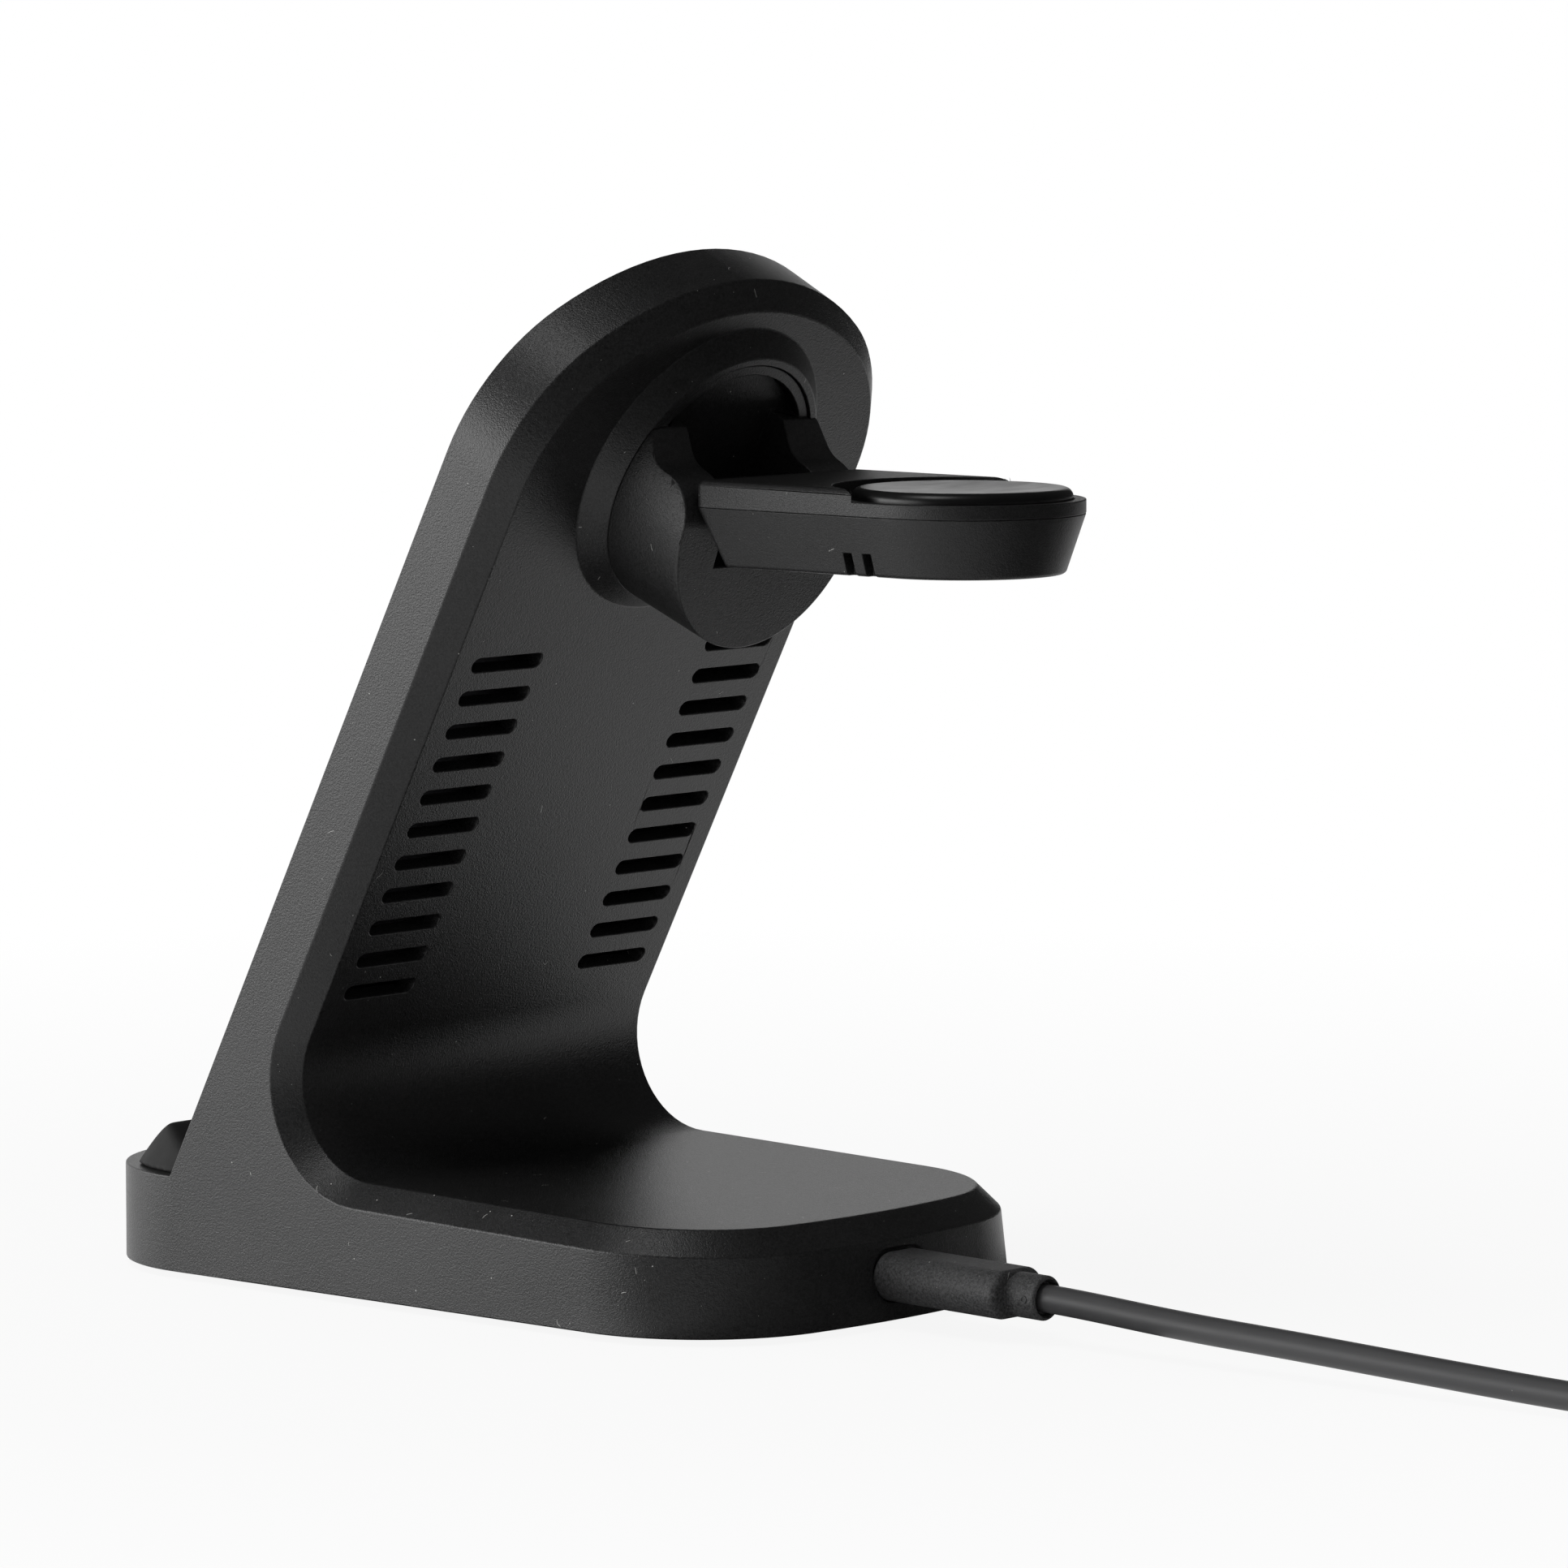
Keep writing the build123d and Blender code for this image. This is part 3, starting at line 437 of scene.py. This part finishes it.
def sintered(name, colour):
    """Dull pressed ferrite or moulded component."""
    finish = Finish(name, Specular_IOR_Level=0.4)
    grains = finish.noise(finish.place(), 0.3, 4.0)
    finish.paint(finish.blend(grains, opaque(colour, 0.7), opaque(colour, 1.3)), 0.55 + grains * 0.2)
    finish.bump(grains, 0.00001)
    return finish.material


def resist(name, colour):
    """Solder resist over copper tracks."""
    finish = Finish(name, Coat_Weight=0.3)
    offset, _ = finish.cells(finish.place((1, 1, 0)), 1.8)
    reach = Value(finish, finish.vector("LENGTH", offset))
    track = reach > 0.7
    finish.paint(finish.blend(track, opaque(colour), opaque(colour, 1.7)), 0.35 + track * 0.1)
    finish.bump(track, 0.00002)
    return finish.material


def finished_mesh(piece):
    """A piece's evaluated mesh as plain data."""
    depsgraph = bpy.context.evaluated_depsgraph_get()
    return bpy.data.meshes.new_from_object(piece.evaluated_get(depsgraph), depsgraph=depsgraph)


def link_piece(name, data):
    piece = bpy.data.objects.new(name, data)
    bpy.context.scene.collection.objects.link(piece)
    return piece


class Recipe(Tree):
    """A geometry node group with named inputs, whose result is kept as a plain mesh"""

    def __init__(self, name, lengths, counts=()):
        self.tree = bpy.data.node_groups.new(name, "GeometryNodeTree")
        sockets = {"Geometry": "NodeSocketGeometry", "Material": "NodeSocketMaterial"}
        sockets.update({key: "NodeSocketFloat" for key in lengths})
        sockets.update({key: "NodeSocketInt" for key in counts})
        for key, kind in sockets.items():
            self.tree.interface.new_socket(key, in_out="INPUT", socket_type=kind)
        self.tree.interface.new_socket("Geometry", in_out="OUTPUT", socket_type="NodeSocketGeometry")
        self.given = self.add("NodeGroupInput").outputs

    def value(self, name):
        return Value(self, self.given[name])

    def close(self, geometry):
        """Ends the tree with plain geometry in the given material."""
        plain = self.add("GeometryNodeRealizeInstances", sockets={"Geometry": geometry})
        sockets = {"Geometry": plain.outputs[0], "Material": self.given["Material"]}
        coated = self.add("GeometryNodeSetMaterial", sockets=sockets)
        self.add("NodeGroupOutput", sockets={"Geometry": coated.outputs[0]})
        return self

    def make(self, name, mesh, **values):
        """A piece from a mesh and the values of the named inputs."""
        piece = link_piece(name, mesh)
        modifier = piece.modifiers.new(name, "NODES")
        modifier.node_group = self.tree
        for item in self.tree.interface.items_tree:
            if item.in_out == "INPUT" and item.name in values:
                modifier[item.identifier] = values[item.name]
        piece.data = finished_mesh(piece)
        piece.modifiers.clear()
        return piece


def four_feet():
    """Sets a foot on each corner of a rectangle on the floor."""
    recipe = Recipe("four_feet", ("Across", "Along", "Back"))
    sockets = {"Vertices X": 2, "Vertices Y": 2}
    sockets.update({"Size X": recipe.value("Across"), "Size Y": recipe.value("Along")})
    corners = recipe.add("GeometryNodeMeshGrid", sockets=sockets)
    back = recipe.add("ShaderNodeCombineXYZ", sockets={"Y": recipe.value("Back")})
    sockets = {"Geometry": corners.outputs["Mesh"], "Translation": back.outputs[0]}
    places = recipe.add("GeometryNodeTransform", sockets=sockets)
    sockets = {"Points": places.outputs[0], "Instance": recipe.given["Geometry"]}
    return recipe.close(recipe.add("GeometryNodeInstanceOnPoints", sockets=sockets).outputs[0])


def flat_winding():
    """Lays turns of wire side by side, from the outside of a flat coil to its eye."""
    lengths = ("Width", "Height", "Corner", "Eye Width", "Eye Height", "Wire")
    recipe = Recipe("flat_winding", lengths, counts=("Turns",))
    sockets = {"Width": recipe.value("Width"), "Height": recipe.value("Height")}
    sides = recipe.add("GeometryNodeCurvePrimitiveQuadrilateral", sockets=sockets)
    sockets = {"Curve": sides.outputs[0], "Count": 9, "Radius": recipe.value("Corner"), "Limit Radius": True}
    turn = recipe.add("GeometryNodeFilletCurve", {"mode": "POLY"}, sockets)
    points = recipe.add("GeometryNodePoints", sockets={"Count": recipe.value("Turns")})
    index = Value(recipe, recipe.add("GeometryNodeInputIndex").outputs[0])
    inwards = index / (recipe.value("Turns") - 1)
    shares = [recipe.value("Eye " + side) / recipe.value(side) for side in ("Width", "Height")]
    shrink = [1 - inwards * (1 - share) for share in shares]
    scale = recipe.add("ShaderNodeCombineXYZ", sockets={"X": shrink[0], "Y": shrink[1], "Z": 1.0})
    sockets = {"Points": points.outputs[0], "Instance": turn.outputs[0], "Scale": scale.outputs[0]}
    turns = recipe.add("GeometryNodeInstanceOnPoints", sockets=sockets)
    lines = recipe.add("GeometryNodeRealizeInstances", sockets={"Geometry": turns.outputs[0]})
    sockets = {"Resolution": 8, "Radius": recipe.value("Wire")}
    section = recipe.add("GeometryNodeCurvePrimitiveCircle", sockets=sockets)
    sockets = {"Curve": lines.outputs[0], "Profile Curve": section.outputs[0]}
    return recipe.close(recipe.add("GeometryNodeCurveToMesh", sockets=sockets).outputs[0])


def turned(name, profile, axis="Z", steps=48):
    """A closed mesh that a profile of distances and heights sweeps out round an axis."""
    shape = bmesh.new()
    line = [shape.verts.new((out, 0, up)) for out, up in profile]
    edges = [shape.edges.new(pair) for pair in zip(line, line[1:])]
    bmesh.ops.spin(shape, geom=line + edges, axis=(0, 0, 1), cent=(0, 0, 0), angle=math.tau, steps=steps,
                   use_merge=True)
    bmesh.ops.remove_doubles(shape, verts=shape.verts, dist=1e-7)
    bmesh.ops.recalc_face_normals(shape, faces=shape.faces)
    mesh = bpy.data.meshes.new(name)
    shape.to_mesh(mesh)
    shape.free()
    if axis == "X":
        mesh.transform(Matrix.Rotation(math.radians(90), 4, "Y"))
    return mesh


def middle_of(node):
    """Middle of a solid's box."""
    corners = [NODES[node].matrix_world @ Vector(corner) for corner in NODES[node].bound_box]
    return sum(corners, Vector()) / len(corners)


def dress(piece, body, slot, material, *replaced):
    """Gives a piece its finish, its body and the nodes that it stands for."""
    piece.data.materials.clear()
    piece.data.materials.append(material)
    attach(piece, body)
    if replaced:
        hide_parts(*replaced)
    return piece


def eased_copy(node, name, edge):
    """A solid's copy with clean flat faces and softly rounded edges."""
    mesh = NODES[node].data.copy()
    shape = bmesh.new()
    shape.from_mesh(mesh)
    bmesh.ops.remove_doubles(shape, verts=shape.verts, dist=1e-6)
    bmesh.ops.dissolve_limit(shape, angle_limit=math.radians(0.05), verts=shape.verts, edges=shape.edges)
    shape.to_mesh(mesh)
    shape.free()
    mesh.shade_smooth()
    piece = link_piece(name, mesh)
    bevel = piece.modifiers.new("Eased edges", "BEVEL")
    bevel.width = edge
    bevel.segments = 2
    bevel.limit_method = "ANGLE"
    bevel.angle_limit = math.radians(28)
    bevel.use_clamp_overlap = False
    flat = piece.modifiers.new("Flat faces", "WEIGHTED_NORMAL")
    flat.weight = 100
    piece.data = finished_mesh(piece)
    piece.modifiers.clear()
    return piece


def softened_copy(node, name):
    """A rubber solid's copy with well rounded edges above its flat underside."""
    piece = link_piece(name, NODES[node].data.copy())
    even = piece.modifiers.new("Even skin", "REMESH")
    even.mode = "VOXEL"
    even.voxel_size = 0.4 * MM
    piece.data = finished_mesh(piece)
    piece.modifiers.clear()
    low = min(vert.co.z for vert in piece.data.vertices)
    free = piece.vertex_groups.new(name="free")
    for vert in piece.data.vertices:
        free.add([vert.index], min((vert.co.z - low) / (2 * MM), 1), "REPLACE")
    soft = piece.modifiers.new("Soft edges", "SMOOTH")
    soft.factor = 0.5
    soft.iterations = 40
    soft.vertex_group = free.name
    piece.data = finished_mesh(piece)
    piece.modifiers.clear()
    piece.vertex_groups.clear()
    piece.data.shade_smooth()
    return piece


def repaint(node, material):
    """Gives a shown solid a better finish."""
    NODES[node].data.materials.clear()
    NODES[node].data.materials.append(material)


class PieceOperator:
    """Settings that every piece's operator has"""

    bl_options = {"REGISTER", "UNDO"}

    @property
    def colours(self):
        return bpy.context.scene.charger_colours

    @property
    def sizes(self):
        return bpy.context.scene.charger_finish


class CHARGER_OT_housing(PieceOperator, bpy.types.Operator):
    """Base and leaning back, with the front panel and the base cover"""

    bl_idname = "charger.housing"
    bl_label = "Housing"

    def execute(self, context):
        grained = moulded("grained_housing", self.colours.housing, 0.36)
        smooth = moulded("grained_panel", self.colours.panel, 0.56, dust=0.5)
        edge = self.sizes.edge
        moulding = eased_copy("main_housing", "housing_moulding", edge)
        dress(moulding, STAND, "housing", grained, "main_housing")
        dress(eased_copy("front_panel", "phone_panel", edge / 2), STAND, "panel", smooth, "front_panel")
        dress(eased_copy("bottom_cover", "base_cover", edge / 2), STAND, "panel", smooth, "bottom_cover")
        return {"FINISHED"}


class CHARGER_OT_rubber(PieceOperator, bpy.types.Operator):
    """Phone stop and feet"""

    bl_idname = "charger.rubber"
    bl_label = "Rubber Parts"

    def execute(self, context):
        rubber = soft_rubber("dull_rubber", self.colours.rubber)
        dress(softened_copy("phone_stop", "rubber_stop"), STAND, "stop", rubber, "phone_stop")
        feet = four_feet().make("rubber_feet", turned("foot", FOOT_PROFILE), Material=rubber,
                                Across=FEET_ACROSS, Along=FEET_ALONG, Back=FEET_BACK)
        dress(feet, STAND, "foot", rubber, "feet")
        return {"FINISHED"}


class CHARGER_OT_hinge(PieceOperator, bpy.types.Operator):
    """Knuckle in the boss, its pin, washers and fixings"""

    bl_idname = "charger.hinge"
    bl_label = "Hinge"

    def execute(self, context):
        grained = moulded("grained_knuckle", self.colours.housing, 0.40, dust=0.5)
        edge = self.sizes.edge
        knuckle = eased_copy("hinge_bracket", "hinge_knuckle", edge)
        dress(knuckle, STAND, "housing", grained, "hinge_bracket")
        steel = metal("turned_steel", self.colours.steel, 0.32, (0.05, 1, 1))
        for node in ("hinge_pin", "hinge_washers", "keeper_screws", "cover_screws"):
            repaint(node, steel)
        repaint("bracket_keeper", grained)
        return {"FINISHED"}


class CHARGER_OT_arm(PieceOperator, bpy.types.Operator):
    """Watch arm and its charging puck"""

    bl_idname = "charger.arm"
    bl_label = "Watch Arm"

    def execute(self, context):
        satin = moulded("satin_arm", self.colours.arm, 0.44, dust=0.6, grain=0.8)
        gloss = polished("polished_puck", self.colours.puck)
        edge = self.sizes.edge
        dress(eased_copy("arm_shell", "arm_tub", edge * 0.7), ARM, "arm", satin, "arm_shell")
        dress(eased_copy("arm_cover", "arm_band", edge * 0.7), ARM, "arm", satin, "arm_cover")
        dress(eased_copy("charging_disc", "watch_puck", edge), ARM, "puck", gloss, "charging_disc")
        return {"FINISHED"}


class CHARGER_OT_inside(PieceOperator, bpy.types.Operator):
    """Coils, ferrites, board and port"""

    bl_idname = "charger.inside"
    bl_label = "Inside Parts"

    def execute(self, context):
        copper = metal("copper_winding", self.colours.copper, 0.34, (1, 1, 1))
        ferrite = sintered("pressed_ferrite", self.colours.ferrite)
        plated = metal("plated_port", self.colours.steel, 0.25, (1, 0.1, 1))
        finishes = {
            ferrite: ("phone_ferrite", "earbud_ferrite", "watch_ferrite", "board_chips", "board_inductors"),
            plated: ("port_socket", "watch_magnet"),
            resist("solder_resist", self.colours.board): ("main_board",),
        }
        for material, nodes in finishes.items():
            for node in nodes:
                repaint(node, material)
        winding = flat_winding()
        for node, (outside, eye, corner, turns, lean) in WINDINGS.items():
            name = node.replace("coil", "winding")
            inset = 2 * WIRE_RADIUS
            piece = winding.make(
                name, bpy.data.meshes.new(name), Material=copper, Turns=turns, Wire=WIRE_RADIUS,
                Width=outside[0] - inset, Height=outside[1] - inset, Corner=corner - WIRE_RADIUS,
                **{"Eye Width": eye[0] + inset, "Eye Height": eye[1] + inset})
            tilt = Matrix.Rotation(math.radians(lean), 4, "X")
            piece.data.transform(Matrix.Translation(middle_of(node)) @ tilt)
            piece.data.shade_smooth()
            dress(piece, ARM if node == "watch_coil" else STAND, "winding", copper, node)
        return {"FINISHED"}


class CHARGER_OT_plugs(PieceOperator, bpy.types.Operator):
    """Both plugs of the cable"""

    bl_idname = "charger.plugs"
    bl_label = "Plugs"

    def execute(self, context):
        soft = moulded("grained_grip", self.colours.grip, 0.58, dust=1.6)
        plated = metal("plated_plug", self.colours.steel, 0.24, (1, 0.1, 1))
        for prefix in ("", "far_"):
            grip = eased_copy(prefix + "plug_grip", prefix + "plug_body", self.sizes.edge)
            dress(grip, STAND, "grip", soft, prefix + "plug_grip")
            repaint(prefix + "plug_shell", plated)
        mark = turned("gate_mark", GATE_PROFILE, "X", 20)
        mark.transform(Matrix.Translation(GATE_MARK))
        dress(link_piece("gate_mark", mark), STAND, "grip", soft)
        return {"FINISHED"}


def jog(angle, window):
    """How far a turn has moved over to the next, from 0 to 1, at an angle in degrees within the turn."""
    share = min(max((angle - window[0]) / (window[1] - window[0]), 0), 1)
    return share * share * (3 - 2 * share)


def coil_points(diameter):
    """Control points of the coil: the lower turns go inwards, the upper ones outwards in their grooves."""
    lift = diameter * math.sqrt(3) / 2
    inner = COIL_OUTER - (COIL_LOWER - 1) * diameter
    low = COIL_FLOOR + diameter / 2
    step = 360 / COIL_STEPS
    swell = 1 / math.cos(math.radians(step / 2))
    points = []
    for k in range(int((COIL_LOWER + COIL_UPPER) * COIL_STEPS) + 1):
        turn, angle = divmod(k * step, 360)
        if turn < COIL_LOWER - 1:
            radius = COIL_OUTER - (turn + jog(angle, LOWER_JOG)) * diameter
            height = low
        elif turn < COIL_LOWER:
            around = math.radians(180 - 60 * jog(angle, UPPER_JOG))
            radius = inner + diameter * (1 + math.cos(around))
            height = low + diameter * math.sin(around)
        else:
            move = jog(angle, UPPER_JOG)
            radius = inner + diameter * (0.5 + turn - COIL_LOWER + move)
            crossing = max(math.sin(math.pi * move), math.sin(math.pi * jog(angle, LOWER_JOG)))
            height = low + lift + (diameter - lift) * crossing
        bearing = math.radians(angle)
        points.append((
            COIL_MIDDLE.x + radius * swell * math.cos(bearing),
            COIL_MIDDLE.y + radius * swell * math.sin(bearing),
            height,
        ))
    return points


class CHARGER_OT_cable(PieceOperator, bpy.types.Operator):
    """The whole cable on one smooth line, with its tie"""

    bl_idname = "charger.cable"
    bl_label = "Cable"

    def execute(self, context):
        cable = context.scene.charger_cable
        line = bpy.data.curves.new("cable", "CURVE")
        line.dimensions = "3D"
        line.bevel_depth = cable.diameter / 2
        line.bevel_resolution = cable.sides
        line.resolution_u = 6
        points = CORD_LEAD + coil_points(cable.diameter) + CORD_TAIL
        spline = line.splines.new("NURBS")
        spline.points.add(len(points) - 1)
        for point, place in zip(spline.points, points):
            point.co = (*place, 1)
        spline.order_u = 3
        spline.use_endpoint_u = True
        piece = link_piece("cable", line)
        skin = sheath("cable_sheath", self.colours.cord)
        dress(piece, STAND, "cord", skin, "cord_lead", "cord_coil", "cord_tail")
        tie = eased_copy("cord_tie", "coil_tie", self.sizes.edge)
        dress(tie, STAND, "tie", woven("woven_tie", self.colours.tie), "cord_tie")
        return {"FINISHED"}


def area_light(name, power, size, place, aim):
    lamp = bpy.data.lights.new(name, "AREA")
    lamp.energy = power
    lamp.shape = "RECTANGLE"
    lamp.size, lamp.size_y = size
    light = link_piece(name, lamp)
    light.location = place
    light.rotation_euler = (aim - Vector(place)).to_track_quat("-Z", "Y").to_euler()


def only_reflected(name, shape, material):
    """A dark screen that only shiny surfaces see: painted shade in reflections."""
    mesh = bpy.data.meshes.new(name)
    shape.to_mesh(mesh)
    shape.free()
    mesh.materials.append(material)
    screen = link_piece(name, mesh)
    for rays in ("camera", "diffuse", "transmission", "shadow"):
        setattr(screen, "visible_" + rays, False)


class CHARGER_OT_stage(bpy.types.Operator):
    """Pale floor, soft studio light and the photograph's camera"""

    bl_idname = "charger.stage"
    bl_label = "Stage"

    def execute(self, context):
        stage = context.scene.charger_stage
        self.make_floor(stage)
        self.make_world(context.scene, stage)
        area_light("side_softbox", stage.key, *SIDE_SOFTBOX, CAMERA_AIM)
        area_light("top_softbox", stage.top, *TOP_SOFTBOX, CAMERA_AIM)
        self.make_painted_shade()
        camera = bpy.data.cameras.new("photo_camera")
        camera.lens = CAMERA_LENS
        camera.sensor_width = 36
        camera.shift_y = CAMERA_SHIFT
        camera.clip_end = 100
        view = link_piece("photo_camera", camera)
        view.location = CAMERA_PLACE
        view.rotation_euler = (CAMERA_AIM - CAMERA_PLACE).to_track_quat("-Z", "Y").to_euler()
        context.scene.camera = view
        context.scene.view_settings.view_transform = "Standard"
        return {"FINISHED"}

    def make_floor(self, stage):
        shape = bmesh.new()
        bmesh.ops.create_circle(shape, cap_ends=True, segments=96, radius=stage.floor)
        mesh = bpy.data.meshes.new("floor")
        shape.to_mesh(mesh)
        shape.free()
        floor = link_piece("floor", mesh)
        finish = Finish("white_floor", Base_Color=(0.9, 0.9, 0.9, 1), Roughness=0.9, Specular_IOR_Level=0.0)
        reach = Value(finish, finish.vector("LENGTH", finish.place()))
        fade = finish.add("ShaderNodeMapRange", sockets=dict(enumerate((reach, *FLOOR_FADE, *FLOOR_WHITE))))
        white = finish.add("ShaderNodeEmission", sockets={"Color": (1, 1, 1, 1), "Strength": 1.0})
        share = seen_rays(finish) * Value(finish, fade.outputs[0])
        sockets = {0: share, 1: finish.shader.outputs[0], 2: white.outputs[0]}
        both = finish.add("ShaderNodeMixShader", sockets=sockets)
        finish.feed(finish.output.inputs["Surface"], both.outputs[0])
        floor.data.materials.append(finish.material)

    def make_painted_shade(self):
        """Painted shade that only reflections show: a dark tent that is open on the lit side, and dark
        sheets on the floor standing in for the shadow there.
        """
        # painted shade: black with a faint glow, seen only by shiny surfaces
        shade_finish = Finish("painted_shade_glow", Base_Color=(0, 0, 0, 1), Specular_IOR_Level=0.0, Roughness=1.0,
                     Emission_Color=(1, 1, 1, 1), Emission_Strength=SHADE_GLOW).material
        # painted dark reflection: a dome that darkens what shiny surfaces see on the unlit sides
        tent = bmesh.new()
        bmesh.ops.create_uvsphere(tent, u_segments=48, v_segments=24, radius=TENT_RADIUS)
        places = ((vert, vert.co) for vert in tent.verts)
        gone = [vert for vert, co in places if co.z < -0.01 or co.y < TENT_FRONT and co.z < TENT_LIP]
        bmesh.ops.delete(tent, geom=gone, context="VERTS")
        only_reflected("painted_shade_tent", tent, shade_finish)
        # painted shade sheets on the floor, standing in for the shadow that reflections would show there
        for name, (half, middle) in PAINTED_SHADE_SHEETS.items():
            shade_sheet = bmesh.new()
            bmesh.ops.create_grid(shade_sheet, x_segments=1, y_segments=1, size=1)
            bmesh.ops.scale(shade_sheet, verts=shade_sheet.verts, vec=(*half, 1))
            bmesh.ops.translate(shade_sheet, verts=shade_sheet.verts, vec=(*middle, SHADE_SHEET_HEIGHT))
            only_reflected(name, shade_sheet, shade_finish)

    def make_world(self, scene, stage):
        scene.world = bpy.data.worlds.new("studio")
        world = Finish.of_world(scene.world)
        even = world.add("ShaderNodeBackground", sockets={"Color": (1, 1, 1, 1), "Strength": stage.ambient})
        white = world.add("ShaderNodeBackground", sockets={"Color": (1, 1, 1, 1), "Strength": 1.0})
        sockets = {0: seen_rays(world), 1: even.outputs[0], 2: white.outputs[0]}
        both = world.add("ShaderNodeMixShader", sockets=sockets)
        world.add("ShaderNodeOutputWorld", sockets={"Surface": both.outputs[0]})


OPERATORS = (
    CHARGER_OT_housing, CHARGER_OT_rubber, CHARGER_OT_hinge, CHARGER_OT_arm, CHARGER_OT_inside,
    CHARGER_OT_plugs, CHARGER_OT_cable, CHARGER_OT_stage,
)


class CHARGER_PT_sidebar(bpy.types.Panel):
    """Lists the charger's settings and pieces"""

    bl_idname = "CHARGER_PT_sidebar"
    bl_label = "Wireless Charger"
    bl_space_type = "VIEW_3D"
    bl_region_type = "UI"
    bl_category = "Charger"

    def draw(self, context):
        for name in SETTINGS:
            group = getattr(context.scene, name)
            box = self.layout.box()
            for key in group.bl_rna.properties.keys():
                if key not in ("rna_type", "name"):
                    box.prop(group, key)
        for operator in OPERATORS:
            self.layout.operator(operator.bl_idname)


SETTINGS = {
    "charger_colours": ChargerColours,
    "charger_finish": ChargerFinish,
    "charger_cable": ChargerCable,
    "charger_stage": ChargerStage,
}


def register():
    for group in SETTINGS.values():
        bpy.utils.register_class(group)
    for name, group in SETTINGS.items():
        setattr(bpy.types.Scene, name, PointerProperty(type=group))
    for operator in OPERATORS:
        bpy.utils.register_class(operator)
    bpy.utils.register_class(CHARGER_PT_sidebar)


def unregister():
    bpy.utils.unregister_class(CHARGER_PT_sidebar)
    for operator in reversed(OPERATORS):
        bpy.utils.unregister_class(operator)
    for name, group in SETTINGS.items():
        delattr(bpy.types.Scene, name)
        bpy.utils.unregister_class(group)


def main():
    register()
    bpy.ops.charger.housing()
    bpy.ops.charger.rubber()
    bpy.ops.charger.hinge()
    bpy.ops.charger.arm()
    bpy.ops.charger.inside()
    bpy.ops.charger.plugs()
    bpy.ops.charger.cable()
    bpy.ops.charger.stage()


if __name__ == "__main__":
    main()
